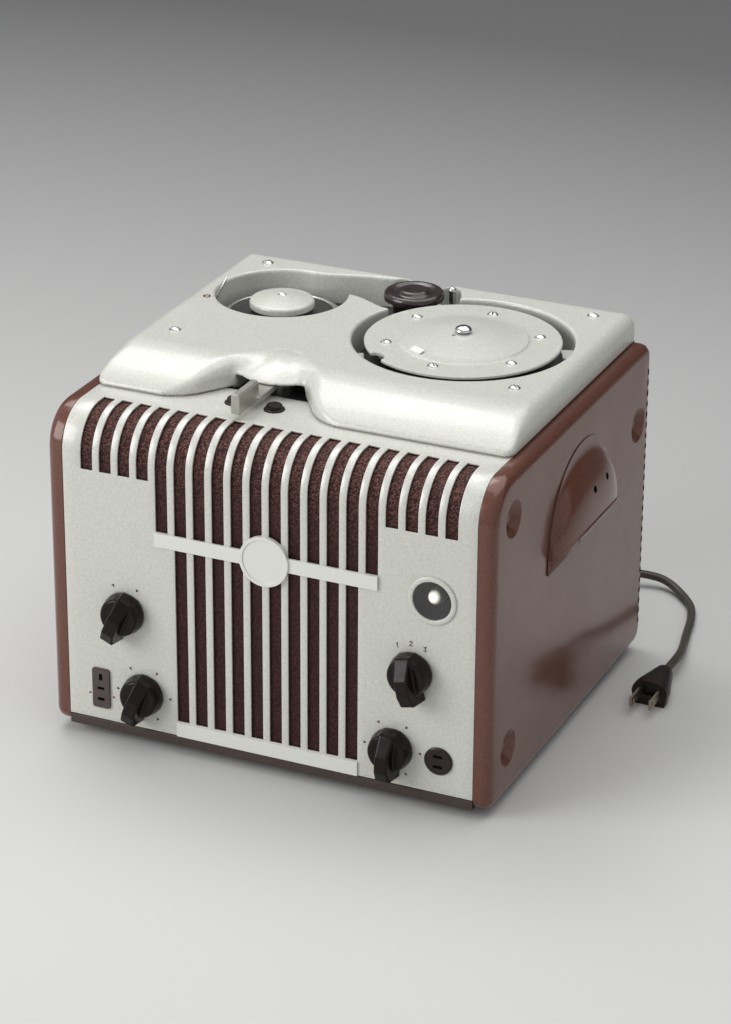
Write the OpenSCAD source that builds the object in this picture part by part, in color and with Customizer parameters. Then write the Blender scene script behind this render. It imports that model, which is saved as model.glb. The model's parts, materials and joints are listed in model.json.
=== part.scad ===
// Table wire recorder: slotted sheet front, brown steel sides with hooded hand grips,
// and a cast deck cover with two spool wells, a head channel and a lever recess.
// Inside the modules y runs back from the front panel's face and z up from the side
// panels' lower edge. placed() moves that to the part's frame, with the floor at z = 0.

/* [Case] */
// Width over the two side panels
case_w = 292; // [286:1:304]
// Depth of the side panels, front to rear
case_d = 260; // [255:1:270]
// Height of the front ledge above the side panels' lower edge
ledge_h = 209; // [205:1:221]
// Radius of the bend from the front into the ledge
bend_r = 26; // [22:1:30]
// Thickness of the case's sheet steel
sheet_t = 1.2; // [0.8:0.1:1.5]
// Width of the lip turned in round each side panel
lip_w = 10.8; // [9.6:0.2:13]
// Rounding of the side panels' outer edge
edge_r = 6; // [4:0.5:7]
// Radius of the side panels' rear corners
rear_corner_r = 10; // [9:1:14]
// Seam left between neighbouring sheets
seam = 0.25; // [0.2:0.05:0.4]
// Height of the feet below the side panels
foot_h = 6; // [4:0.5:10]
// Diameter of a foot
foot_d = 22; // [16:1:28]
// Distance of a foot's axis from the case's sides and ends
foot_inset = 34; // [30:1:44]
// Diameter of a screw dimple in a side panel
dimple_d = 24; // [18:1:28]
// Depth of a screw dimple
dimple_depth = 5; // [3.5:0.5:6]
// Spacing of the vents along a side panel's rear edge
vent_pitch = 7.25; // [6:0.25:10]

/* [Grille] */
// Number of slots in the front panel
slot_count = 20; // [18:2:20]
// Spacing of the slots
slot_pitch = 12.5; // [12:0.1:13]
// Width of a slot
slot_w = 8; // [6:0.5:9]
// Number of short slots at each side
short_slots = 4; // [3:1:5]
// How far the short slots reach below the ledge
short_drop = 35; // [30:1:45]
// How far every slot reaches back over the ledge
slot_back = 32.4; // [28:0.2:36]
// Height of the long slots' lower ends
slot_low = 17; // [16.8:0.2:24]
// Height of the front panel's lower edge
panel_low = 7.2; // [7:0.2:9]
// Height of the name bar's lower edge
bar_low = 133; // [120:1:140]
// Height of the name bar
bar_h = 9; // [6:0.5:12]
// Length of the name bar
bar_w = 146; // [130:1:150]
// Thickness of the name bar
bar_t = 1.6; // [1:0.1:2.5]
// Diameter of the plain round badge on the name bar
badge_d = 32; // [24:1:40]
// Length of the strip along the panel's foot
strip_w = 121; // [110:1:130]
// Height of the strip along the panel's foot
strip_h = 9.2; // [6:0.2:9.4]

/* [Controls] */
// Diameter of a knob's skirt
knob_d = 27; // [24:0.5:30]
// Height of a knob
knob_h = 17; // [14:0.5:20]
// Reach of a knob's nose from its axis
knob_nose = 18; // [16:0.5:20]
// Sideways place of the upper knobs from the middle
upper_knob_x = 95; // [90:1:100]
// Height of the upper knobs
upper_knob_z = 84; // [78:1:90]
// Sideways place of the lower knobs from the middle
lower_knob_x = 83; // [80:1:86]
// Height of the lower knobs
lower_knob_z = 31; // [29:1:36]
// Diameter of a control's shaft
shaft_d = 6; // [5:0.1:6.4]
// Diameter of a control's threaded bush
bush_d = 9.4; // [9:0.1:10]
// Sideways place of the lamp from the middle
lamp_x = 107.5; // [104:0.5:110]
// Height of the lamp
lamp_z = 133; // [125:1:140]
// Diameter of the lamp's bezel
bezel_d = 31; // [29:0.5:34]
// Diameter of the lamp's glass
lens_d = 24.4; // [22:0.2:25]
// Width of the input socket
input_w = 11.8; // [10.6:0.2:14]
// Height of the input socket
input_h = 26.8; // [24:0.2:30]
// Sideways place of the input socket, left of the middle
input_x = 112.4; // [111:0.2:114]
// Height of the sockets' middles
socket_z = 29; // [26:1:32]
// Diameter of the output socket
output_d = 18; // [16:0.5:20]
// Sideways place of the output socket, right of the middle
output_x = 113; // [112:0.5:116]

/* [Deck] */
// Height of the deck cover above the ledge
cover_h = 18.5; // [17:0.5:22]
// Front edge of the deck cover, back from the panel
cover_front = 46; // [42:1:48]
// Where the cover's front slope reaches the flat top
cover_flat_y = 90; // [84:1:94]
// Rounding along the cover's sides
cover_edge_r = 9; // [6:0.5:10]
// Wall of the cover's casting
cover_wall = 3; // [2:0.2:3.4]
// Thickness of the deck plate
deck_t = 2.5; // [2:0.1:3]
// Sideways place of the supply well, left of the middle
supply_x = 81; // [80:0.5:83]
// Supply well's axis, forward of the case's rear edge
supply_back = 66.5; // [65:0.5:69]
// Diameter of the supply well
supply_well_d = 84.6; // [82:0.2:86]
// Diameter of the hub that centres a wire spool
hub_d = 39; // [36:0.5:40]
// Sideways place of the take-up well, right of the middle
takeup_x = 54.5; // [53:0.5:55.5]
// Take-up well's axis, forward of the case's rear edge
takeup_back = 91.6; // [90:0.2:94]
// Diameter of the take-up well
takeup_well_d = 137.6; // [134:0.2:138]
// Diameter of the take-up disc
disc_d = 122.2; // [118:0.2:124]
// Sideways place of the head, left of the middle
head_x = 4; // [3:0.5:5]
// Head's axis, forward of the case's rear edge
head_back = 33; // [32:0.5:34]
// Diameter of the pocket round the head
head_pocket_d = 60; // [57:0.5:60]
// Diameter of the head's cap
head_cap_d = 38.4; // [36:0.2:39]
// Half of the head's level-winding travel
head_travel = 6; // [4:0.5:6]
// Sideways place of the control lever's pivot, left of the middle
lever_x = 34; // [33:0.5:35]
// Control lever's pivot, back from the panel
lever_y = 101; // [99:0.5:103]
// Reach of the control lever from its pivot
lever_reach = 70.5; // [66:0.5:74]
// Height of the control lever's blade
blade_h = 12.8; // [10:0.2:15]
// Diameter of the domed boss over the lever's pivot
boss_d = 60; // [58:0.5:62]

/* [Hand grips] */
// Grip's middle, back from the panel
grip_y = 139; // [134:1:144]
// Height of the grip's straight lower edge
grip_low = 120.5; // [114:0.5:126]
// Width of the grip's half-moon flange
grip_w = 110; // [106:1:116]
// Height of the grip's half-moon flange
grip_h = 67; // [64:1:70]
// Thickness of the grip's sheet
grip_t = 1.2; // [0.8:0.1:1.6]
// How far the hood stands out of the side panel
hood_out = 12; // [9:0.5:14]
// Width of the hood
hood_w = 102; // [96:1:104]
// Height of the hood
hood_h = 57; // [54:1:59]
// Height of the hood's lip at its middle, above the grip's lower edge
hood_rise = 18; // [14:0.5:20]
// Height of the hood's lip near its ends, above the grip's lower edge
hood_base = 10; // [6:0.5:12]

/* [Cord] */
// Diameter of the mains cord
cord_d = 5.5; // [5:0.1:5.5]
// Distance of the cord's gland from the case's right side
gland_inset = 79; // [75:1:83]
// Height of the cord's gland
gland_z = 35; // [30:1:40]

/* [Hidden] */
$fn = 64;

// Clearances and small common sizes
run_gap = 0.05;
press_gap = 0.02;
cut = 1;
knob_gap = 0.6;
screw_r = 2;
screw_head_r = 4;
screw_head_h = 2;

// Places worked out from the driving sizes
half_w = case_w / 2;
sheet_half = half_w - lip_w - seam;
front_reach = knob_gap + knob_h;
mid_y = (case_d - front_reach) / 2;
supply_y = case_d - supply_back;
takeup_y = case_d - takeup_back;
head_y = case_d - head_back;
plate_top = ledge_h - sheet_t;
deck_low = plate_top - deck_t;
cover_top = ledge_h + cover_h;
cover_rear = case_d - 2;
cover_half = half_w - lip_w - seam;
ledge_back = cover_flat_y - 4;
dimple_floor_x = half_w - dimple_depth;
post_x = dimple_floor_x - sheet_t - seam;
post_t = 1.5;
post_foot_x = sheet_half - 10;
front_post_y = [18, 54];
rear_post_y = [case_d - 35, case_d - 9];
pan_low = 0.4;
pan_top = pan_low + sheet_t;
rear_panel_y = case_d - screw_head_h - seam - sheet_t;
flange_y = rear_panel_y - sheet_t;
dimple_front_y = 27.7;
dimple_rear_y = case_d - 22;
dimple_places = [
    [dimple_front_y, ledge_h - 28],
    [dimple_front_y, 31.7],
    [dimple_rear_y, ledge_h - 49.4]];
rear_screw_x = sheet_half - 15;
rear_screw_low = 8;
rear_screw_high = deck_low - 6;
wheel_h = 8;
wheel_high = deck_low - 9;
wheel_low = wheel_high - wheel_h;

// Moves the working coordinates to the part's frame
module placed() {
    translate([0, -mid_y, foot_h])
        children();
}

// Points of a round corner about (y, z)
function corner(cy, cz, r, from, to, n) = [
    for (i = [0:n])
        let (a = from + (to - from) * i / n)
        [cy + r * cos(a), cz + r * sin(a)]];

// A rectangle with round corners, centred
function round_rect(w, h, r) = concat(
    corner(w / 2 - r, h / 2 - r, r, 0, 90, 4),
    corner(r - w / 2, h / 2 - r, r, 90, 180, 4),
    corner(r - w / 2, r - h / 2, r, 180, 270, 4),
    corner(w / 2 - r, r - h / 2, r, 270, 360, 4));

// Closed solid through a list of rings with equal point counts
module skin(rings) {
    n = len(rings[0]);
    m = len(rings);
    polyhedron(
        points = [for (r = rings) each r],
        faces = concat(
            [[for (i = [0:n - 1]) i]],
            [for (k = [0:m - 2], i = [0:n - 1])
                [k * n + i, (k + 1) * n + i, (k + 1) * n + (i + 1) % n]],
            [for (k = [0:m - 2], i = [0:n - 1])
                [k * n + i, (k + 1) * n + (i + 1) % n, k * n + (i + 1) % n]],
            [[for (i = [n - 1:-1:0]) (m - 1) * n + i]]));
}

// Turns a profile drawn in (y, z) and extrudes it along x
module along_x(width) {
    rotate([90, 0, 90])
        linear_extrude(height = width, center = true)
            children();
}

// Carries a piece to the panel's face, with its own z pointing out at the viewer
module on_front(x, z) {
    translate([x, 0, z])
        rotate([90, 0, 0])
            children();
}

// Case: side panels

front_corner_r = edge_r + sheet_t + 1;

function side_outline(inset) = concat(
    corner(front_corner_r, front_corner_r, front_corner_r - inset, 180, 270, 4),
    corner(case_d - rear_corner_r, rear_corner_r, rear_corner_r - inset, 270, 360, 6),
    corner(case_d - rear_corner_r, ledge_h - rear_corner_r, rear_corner_r - inset, 0, 90, 6),
    corner(bend_r, ledge_h - bend_r, bend_r - inset, 90, 180, 12));

function side_ring(x, inset) = [for (p = side_outline(inset)) [x, p[0], p[1]]];

// Rings over a rounded edge, from the lip to the outer face
function rounded_rings(face_x, r, inset) = [
    for (a = [0:30:90])
        side_ring(face_x - r + r * sin(a), inset + r * (1 - cos(a)))];

module dimple(place, depth_from, depth, grow) {
    translate([depth_from, place[0], place[1]])
        rotate([0, -90, 0])
            cylinder(h = depth, r1 = dimple_d / 2, r2 = dimple_d / 4 + grow);
}

vent_h = 3.5;
vent_bite = (edge_r + sheet_t) / 2;
vent_first = rear_corner_r + 4;
vent_count = floor((ledge_h - 2 * vent_first) / vent_pitch);

module side_panel() {
    difference() {
        skin(concat([side_ring(half_w - lip_w, 0)], rounded_rings(half_w, edge_r, 0)));
        difference() {
            skin(concat(
                [side_ring(half_w - lip_w - cut, sheet_t)],
                rounded_rings(half_w - sheet_t, edge_r - sheet_t, sheet_t)));
            for (place = dimple_places)
                dimple(place, half_w - sheet_t, dimple_depth, sheet_t);
        }
        for (place = dimple_places) {
            dimple(place, half_w + seam, dimple_depth + seam, 0);
            translate([dimple_floor_x, place[0], place[1]])
                rotate([0, 90, 0])
                    cylinder(h = 4 * sheet_t, r = screw_r + seam, center = true);
        }
        translate([half_w, grip_y, grip_low])
            grip_window();
        for (i = [0:vent_count])
            translate([half_w - vent_bite, case_d - vent_bite, vent_first + i * vent_pitch])
                cube([2 * vent_bite, 2 * vent_bite, vent_h]);
    }
}

module side_panel_right() {
    color("#6b5149")
        placed()
            side_panel();
}

module side_panel_left() {
    color("#6b5149")
        placed()
            mirror([1, 0, 0])
                side_panel();
}

// Case: hand grips

// Half-moon outline: half width, height, and the radius of its lower corners
function moon(half, high, r) = concat(
    corner(r - half, r, r, 180, 270, 4),
    corner(half - r, r, r, 270, 345, 4),
    [for (a = [0:7.5:180]) [half * cos(a), r + (high - r) * sin(a)]]);

hood_power = 2.4;
hood_sections = 24;
hood_steps = 7;
hood_least = 0.02;

function bulge(s) = pow(max(0, 1 - pow(min(1, abs(s)), hood_power)), 1 / hood_power);

// Hood profile up one section, from its free lip to the flange
function hood_profile(y, e, high, out, off) = [
    for (k = [0:hood_steps])
        let (s = sin(90 * k / hood_steps))
        let (base = hood_base * min(1, 4 * e))
        [off + out * e * (1 - s * s * s), y,
            base + (high - base) * e * s + (hood_rise - base) * e * e * (1 - s)]];

function turned(list) = [for (i = [len(list) - 1:-1:0]) list[i]];

// One upright section of the sheet: outer side going up, inner side coming down
function grip_section(y) =
    let (half = grip_w / 2)
    let (top = grip_h - half + sqrt(half * half - y * y))
    let (e = max(hood_least, bulge(y / (hood_w / 2))))
    let (inner_e = max(hood_least / 2, bulge(y / (hood_w / 2 - grip_t))))
    concat(
        hood_profile(y, e, hood_h, hood_out - grip_t, grip_t),
        [[grip_t, y, top], [0, y, top]],
        turned(hood_profile(y, inner_e, hood_h - grip_t, hood_out - grip_t, 0)));

flange_end = 0.9985 * grip_w / 2;
flange_mid = (grip_w + hood_w) / 4;
grip_stations = concat(
    [flange_end, flange_mid],
    [for (i = [hood_sections:-2:-hood_sections]) hood_w / 2 * sin(90 * i / hood_sections)],
    [-flange_mid, -flange_end]);

// Opening through the side panel behind the hood
module grip_window() {
    translate([0, 0, 4])
        rotate([90, 0, 90])
            linear_extrude(height = 4 * sheet_t, center = true)
                polygon(moon(hood_w / 2 - 6, hood_h - 10, 4));
}

module hand_grip() {
    translate([half_w + 0.01, grip_y, grip_low])
        difference() {
            skin([for (y = grip_stations) grip_section(y)]);
            for (y = [-4, 18])
                translate([grip_t, y, 38])
                    rotate([0, 90, 0])
                        cylinder(h = 2 * hood_out, r = 2.2, $fn = 24);
        }
}

module hand_grip_right() {
    color("#7a5348")
        placed()
            hand_grip();
}

module hand_grip_left() {
    color("#7a5348")
        placed()
            mirror([1, 0, 0])
                hand_grip();
}

// Case: front panel, cloth and strips

// Sheet that stands at the front and bends back into the ledge, between two depths
function bent_sheet(near, far, low, back) = concat(
    [[near, low]],
    [for (a = [180:-7.5:90])
        [bend_r + (bend_r - near) * cos(a), ledge_h - bend_r + (bend_r - near) * sin(a)]],
    [[back, ledge_h - near], [back, ledge_h - far]],
    [for (a = [90:7.5:180])
        [bend_r + (bend_r - far) * cos(a), ledge_h - bend_r + (bend_r - far) * sin(a)]],
    [[far, low]]);

// Lower end of each slot, counted from the left
function slot_end(i) =
    let (side = min(i, slot_count - 1 - i))
    side < short_slots ? ledge_h - short_drop :
    side == short_slots ? bar_low + bar_h : slot_low;

function slot_x(i) = (i - (slot_count - 1) / 2) * slot_pitch;

module front_panel() {
    color("#c9c8be")
        placed()
            difference() {
                along_x(2 * sheet_half)
                    polygon(bent_sheet(0, sheet_t, panel_low, ledge_back));
                for (i = [0:slot_count - 1])
                    translate([slot_x(i) - slot_w / 2, -cut, slot_end(i)])
                        cube([slot_w, slot_back + cut, ledge_h]);
                for (x = [-1, 1]) {
                    on_front(x * upper_knob_x, upper_knob_z)
                        cylinder(h = 4 * sheet_t, r = bush_d / 2 + seam, center = true);
                    on_front(x * lower_knob_x, lower_knob_z)
                        cylinder(h = 4 * sheet_t, r = bush_d / 2 + seam, center = true);
                }
                on_front(lamp_x, lamp_z)
                    cylinder(h = 4 * sheet_t, r = lens_d / 2 + 1 + seam, center = true);
                on_front(output_x, socket_z)
                    cylinder(h = 4 * sheet_t, r = output_d / 2 - 1 + seam, center = true);
                translate([-input_x, 0, socket_z])
                    cube([input_w - 2, 4 * sheet_t, input_h - 2], center = true);
            }
}

cloth_gap = 0.2;
cloth_t = 0.8;
cloth_edge = 3;

module grille_cloth() {
    near = sheet_t + cloth_gap;
    margin = slot_w / 2 + cloth_edge;
    long_half = slot_x(slot_count - 2 - short_slots) + margin;
    bar_half = slot_x(slot_count - 1 - short_slots) + margin;
    short_half = slot_x(slot_count - 1) + margin;
    color("#4b2d2c")
        placed()
            intersection() {
                along_x(2 * short_half)
                    polygon(bent_sheet(near, near + cloth_t, slot_low - cloth_edge,
                        slot_back + cloth_edge));
                union() {
                    translate([-long_half, 0, 0])
                        cube([2 * long_half, case_d, ledge_h]);
                    translate([-bar_half, 0, bar_low + bar_h - cloth_edge])
                        cube([2 * bar_half, case_d, ledge_h]);
                    translate([-short_half, 0, ledge_h - short_drop - cloth_edge])
                        cube([2 * short_half, case_d, ledge_h]);
                }
            }
}

module trim_strips() {
    badge_t = bar_t + 1.2;
    color("#d4d2c8")
        placed() {
            difference() {
                union() {
                    translate([-bar_w / 2, -bar_t, bar_low])
                        cube([bar_w, bar_t, bar_h]);
                    on_front(0, bar_low + bar_h / 2)
                        cylinder(h = badge_t, d = badge_d);
                }
                on_front(0, bar_low + bar_h / 2)
                    translate([0, 0, badge_t - 0.6])
                        cylinder(h = cut, d = badge_d - 4);
            }
            translate([-strip_w / 2, -1, panel_low])
                cube([strip_w, 1, strip_h]);
        }
}

// Case: pan, rear panel, feet, posts and screws

module base_pan() {
    front_flange_h = panel_low - 0.6;
    rear_flange_h = 14;
    color("#5d4640")
        placed()
            difference() {
                translate([-sheet_half, 0, pan_low])
                    difference() {
                        cube([2 * sheet_half, flange_y + sheet_t, rear_flange_h]);
                        translate([-cut, sheet_t, sheet_t])
                            cube([case_w, flange_y - sheet_t, rear_flange_h]);
                        translate([-cut, -cut, front_flange_h - pan_low])
                            cube([case_w, 2 * sheet_t, rear_flange_h]);
                    }
                for (p = foot_places())
                    translate([p[0], p[1], 0])
                        cylinder(h = 4 * sheet_t, r = foot_d / 6 + seam, center = true);
                for (x = [-rear_screw_x, rear_screw_x])
                    rear_hole(x, rear_screw_low);
            }
}

function foot_places() = [
    for (x = [foot_inset - half_w, half_w - foot_inset], y = [foot_inset, case_d - foot_inset])
        [x, y]];

module feet() {
    color("#2c2927")
        placed()
            for (p = foot_places())
                translate([p[0], p[1], 0])
                    rotate_extrude()
                        polygon([
                            [0, -foot_h], [foot_d / 2 - 2, -foot_h], [foot_d / 2, -foot_h / 2],
                            [foot_d / 2, pan_low], [foot_d / 6, pan_low], [foot_d / 6, 4], [0, 4]]);
}

module rear_hole(x, z) {
    translate([x, rear_panel_y, z])
        rotate([90, 0, 0])
            cylinder(h = 4 * sheet_t, r = screw_r + seam, center = true);
}

gland_r = 5;
rear_slot_w = 5;
rear_slot_h = 46;
rear_slot_pitch = 16;
rear_slot_low = 56;

module rear_panel() {
    top = deck_low - seam;
    color("#5a453f")
        placed()
            difference() {
                translate([-sheet_half, rear_panel_y, pan_low])
                    cube([2 * sheet_half, sheet_t, top - pan_low]);
                for (z = [rear_slot_low, rear_slot_low + rear_slot_h + rear_slot_pitch], i = [-6:6])
                    translate([i * rear_slot_pitch - rear_slot_w / 2, rear_panel_y - cut, z])
                        cube([rear_slot_w, 4 * sheet_t, rear_slot_h]);
                for (x = [-rear_screw_x, rear_screw_x], z = [rear_screw_low, rear_screw_high])
                    rear_hole(x, z);
                translate([gland_x, rear_panel_y, gland_z])
                    rotate([90, 0, 0])
                        cylinder(h = 4 * sheet_t, r = gland_r + seam, center = true);
            }
}

// Angle posts that join the pan, the deck plate and the side panels
module post(from, to, web_y) {
    difference() {
        union() {
            translate([post_x - post_t, from, pan_top])
                cube([post_t, to - from, deck_low - pan_top]);
            translate([post_foot_x, web_y, pan_top])
                cube([post_x - post_foot_x, post_t, deck_low - pan_top]);
        }
        for (place = dimple_places)
            translate([post_x, place[0], place[1]])
                rotate([0, 90, 0])
                    cylinder(h = 6 * post_t, r = screw_r + seam, center = true);
    }
}

module corner_posts() {
    color("#8a8a86")
        placed()
            for (side = [0, 1])
                mirror([side, 0, 0]) {
                    post(front_post_y[0], front_post_y[1], front_post_y[1] - post_t);
                    post(rear_post_y[0], rear_post_y[1], rear_post_y[0]);
                }
}

// Domed screw that points down its own -z, with the head's underside at z = 0
module screw(length) {
    rotate_extrude()
        polygon(concat(
            [[0, -length], [screw_r, -length], [screw_r, 0], [screw_head_r, 0]],
            [for (a = [0:15:90])
                [screw_head_r * cos(a), screw_head_h * (0.3 + 0.7 * sin(a))]]));
}

module case_screws() {
    color("#9a948c")
        placed() {
            for (side = [0, 1], place = dimple_places)
                mirror([side, 0, 0])
                    translate([dimple_floor_x, place[0], place[1]])
                        rotate([0, 90, 0])
                            screw(8);
            for (x = [-rear_screw_x, rear_screw_x], z = [rear_screw_low, rear_screw_high])
                translate([x, rear_panel_y + sheet_t, z])
                    rotate([-90, 0, 0])
                        screw(6);
        }
}

// Deck: plate and cover

idler_r = 15;
idler_pin_r = 3;
pulley_r = 6;
takeup_wheel_r = 40;
supply_wheel_r = 30;
cam_r = 40;
cam_pin_r = 3.5;
takeup_shaft_r = 5;
supply_shaft_r = 4;
motor_left = 76.5;
motor_forward = 18.4;
takeup_at = [takeup_x, takeup_y];
supply_at = [-supply_x, supply_y];
head_at = [-head_x, head_y];
lever_at = [-lever_x, lever_y];
motor_at = takeup_at - [motor_left, motor_forward];

function toward(a, b, reach) = a + (b - a) * (reach / norm(b - a));
idler_at = toward(motor_at, takeup_at,
    (norm(takeup_at - motor_at) + pulley_r - takeup_wheel_r) / 2);
cam_at = toward(takeup_at, head_at, takeup_shaft_r + 0.3 + cam_r);
cam_low = deck_low - 35;
cam_h = 6;
cam_throw = 8;
cam_lobe_r = 18;

bearing_flange_h = 2;
supply_bearing_r = 8;
takeup_bearing_r = 10;
head_guide_r = 9;
head_stem_r = 5;
motor_drop = 40;
motor_h = 53;
motor_bore_h = 16;
motor_high = deck_low - motor_drop;
motor_low = motor_high - motor_h;
motor_r = 36;
motor_stud_r = 3;
motor_studs = [for (a = [180, 270, 330]) motor_at + (motor_r - 2 * motor_stud_r) * [cos(a), sin(a)]];

module at(place, z) {
    translate([place[0], place[1], z])
        children();
}

module deck_plate() {
    plate_front = 40;
    flange_h = 12;
    color("#8f8f8a")
        placed()
            difference() {
                union() {
                    translate([-sheet_half, plate_front, deck_low])
                        cube([2 * sheet_half, flange_y + sheet_t - plate_front, deck_t]);
                    translate([-sheet_half, flange_y, deck_low - flange_h])
                        cube([2 * sheet_half, sheet_t, flange_h + deck_t]);
                    at(idler_at, wheel_low - 1)
                        cylinder(h = deck_low - wheel_low + 2, r = idler_pin_r);
                    at(cam_at, cam_low - 1)
                        cylinder(h = deck_low - cam_low + 2, r = cam_pin_r);
                }
                at(supply_at, deck_low - cut)
                    cylinder(h = 2 * deck_t + cut, r = supply_bearing_r + press_gap);
                at(takeup_at, deck_low - cut)
                    cylinder(h = 2 * deck_t + cut, r = takeup_bearing_r + press_gap);
                at(head_at, deck_low - cut)
                    cylinder(h = 2 * deck_t + cut, r = head_guide_r + press_gap);
                for (x = [-rear_screw_x, rear_screw_x])
                    rear_hole(x, rear_screw_high);
                for (p = deck_screw_places())
                    at(p, deck_low - cut)
                        cylinder(h = 2 * deck_t + cut, r = screw_r + press_gap);
            }
}

cover_lip = 2.5;
slope_drop = cover_h - cover_lip;
slope_run = cover_flat_y - cover_front;
slope_r = (slope_run * slope_run + slope_drop * slope_drop) / (2 * slope_drop);
cover_rear_r = 8;
cover_over = 1.4;
cover_step = ledge_h + 0.8;

// Cover from the side: front lip, one long arc up to the flat top, small rear rounding
function cover_side(inset, low) =
    let (r = slope_r - inset)
    let (end = asin((slope_run - inset) / r))
    concat(
        [[cover_front + inset, low]],
        [for (i = [0:10])
            let (a = end * (1 - i / 10))
            [cover_flat_y - r * sin(a), cover_top - slope_r + r * cos(a)]],
        corner(cover_rear - cover_rear_r, cover_top - cover_rear_r, cover_rear_r - inset, 90, 0, 4),
        [[cover_rear - inset, low]]);

// Right half of the cover from the front: its foot, a step over the side panel's lip, and one
// large rounding into the top
function cover_half_across(inset) =
    let (side = cover_half + cover_over)
    concat(
        [[cover_half - inset, 0], [cover_half - inset, cover_step + inset],
            [side - inset, cover_step + inset]],
        corner(side - cover_edge_r, cover_top - cover_edge_r, cover_edge_r - inset, 0, 90, 8));

function cover_across(inset) = concat(
    cover_half_across(inset),
    turned([for (p = cover_half_across(inset)) [-p[0], p[1]]]));

// Cover from above: round corners at the rear
function cover_plan(inset) =
    let (x = cover_half + cover_over - cover_rear_r)
    let (y = cover_rear - cover_rear_r)
    concat(
        [[-half_w, 0], [half_w, 0], [half_w, y]],
        corner(x, y, cover_rear_r - inset, 0, 90, 4),
        corner(-x, y, cover_rear_r - inset, 90, 180, 4),
        [[-half_w, y]]);

module cover_form(inset, low) {
    intersection() {
        along_x(case_w)
            polygon(cover_side(inset, low));
        translate([0, case_d, 0])
            rotate([90, 0, 0])
                linear_extrude(height = case_d)
                    polygon(cover_across(inset));
        linear_extrude(height = cover_top)
            polygon(cover_plan(inset));
    }
}

tongue = supply_at + [41, 16.5];
tongue_root = supply_at + [55, 14];
channel_rise = 10.5;
channel_steps = 10;

// Rear wall of the channel: an even S from the supply well to the head's pocket
function channel_outline(grow) =
    let (from = -supply_x, to = -head_x - head_pocket_d / 2 + 4)
    concat(
        [for (i = [0:channel_steps])
            let (t = i / channel_steps)
            [from + (to - from) * t,
                supply_y + supply_well_d / 2 + channel_rise * (1 - cos(180 * t)) / 2
                    - 0.2 + grow]],
        [head_at, tongue_root - [0, grow], tongue - [0, grow], supply_at]);

// The two wells, the head's pocket and the channel, from one height to another
module wells(grow, low, high) {
    at(supply_at, low)
        cylinder(h = high - low, r = supply_well_d / 2 + grow, $fn = 96);
    at(takeup_at, low)
        cylinder(h = high - low, r = takeup_well_d / 2 + grow, $fn = 96);
    at(head_at, low)
        cylinder(h = high - low, r = head_pocket_d / 2 + grow);
    translate([0, 0, low])
        linear_extrude(height = high - low)
            polygon(channel_outline(grow));
}

fan_back = 23;
fan_front = 46.5;
fan_turn_y = lever_y - 24;
fan_end_y = lever_y - 17;
fan_corner_r = 14;
fan_slant = atan2(fan_turn_y - cover_front, fan_front - fan_back);
fan_corner_x = fan_front + fan_corner_r * tan(fan_slant / 2);

// One side of the lever's recess: straight walls, then a round corner into the front edge
function fan_side(grow) = concat(
    [[fan_back + grow, fan_end_y + grow], [fan_back + grow, fan_turn_y]],
    corner(fan_corner_x, cover_front + fan_corner_r, fan_corner_r - grow,
        270 - fan_slant, 270, 6),
    [[fan_corner_x, cover_front - cut]]);

// Recess for the lever, opening towards the front like a fan
module fan(grow) {
    translate([-lever_x, 0, 0])
        linear_extrude(height = 2 * ledge_h)
            polygon(concat(
                [for (p = fan_side(grow)) p],
                turned([for (p = fan_side(grow)) [-p[0], p[1]]])));
}

slot_roof = ledge_h + 8.5;
boss_flat_r = 13;

// Domed boss over the lever's pivot
module boss() {
    run = boss_d / 2 - boss_flat_r;
    drop = cover_top - slot_roof - 1;
    at(lever_at, 0)
        rotate_extrude()
            polygon(concat(
                [[0, cover_top]],
                [for (i = [0:8])
                    let (t = i / 8)
                    [boss_flat_r + run * t, cover_top - drop * (1 - cos(90 * t))]],
                [[boss_d / 2, slot_roof], [boss_d / 2 - 1.2, slot_roof]],
                [for (i = [8:-1:0])
                    let (t = i / 8)
                    [boss_flat_r - 1.2 + run * t, cover_top - 2 - (drop - 1) * (1 - cos(90 * t))]],
                [[0, cover_top - 2]]));
}

deck_screw_x = half_w - 33;
deck_screw_front = cover_flat_y + 17;
deck_screw_rear = cover_rear - 19;
deck_screw_boss_r = 5;

function deck_screw_places() = [
    for (x = [-deck_screw_x, deck_screw_x], y = [deck_screw_front, deck_screw_rear]) [x, y]];

module deck_cover() {
    color("#cbcac0")
        placed()
            difference() {
                union() {
                    difference() {
                        cover_form(0, plate_top);
                        difference() {
                            cover_form(cover_wall, plate_top - cut);
                            wells(cover_wall, 0, cover_top);
                            difference() {
                                fan(cover_wall);
                                translate([-lever_x - fan_back, fan_end_y - cut, 0])
                                    cube([2 * fan_back, boss_d, slot_roof]);
                            }
                            for (p = deck_screw_places())
                                at(p, 0)
                                    cylinder(h = cover_top, r = deck_screw_boss_r);
                        }
                        fan(0);
                        translate([-half_w, 0, 0])
                            cube([case_w, ledge_back + seam, ledge_h]);
                    }
                    boss();
                }
                wells(0, 0, cover_top + cut);
                for (p = deck_screw_places())
                    at(p, 0)
                        cylinder(h = cover_top + cut, r = screw_r + press_gap);
            }
}

module deck_screws() {
    color("#c4c4c0")
        placed()
            for (p = deck_screw_places())
                at(p, cover_top)
                    screw(cover_top - deck_low);
}

// Deck: supply side

bearing_top = plate_top + bearing_flange_h;
seat = bearing_top + 0.2;
supply_table_r = supply_well_d / 2 - 5;
supply_table_z = plate_top + 3.5;
supply_table_h = 2.5;
hub_top = cover_top - 7;

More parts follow.
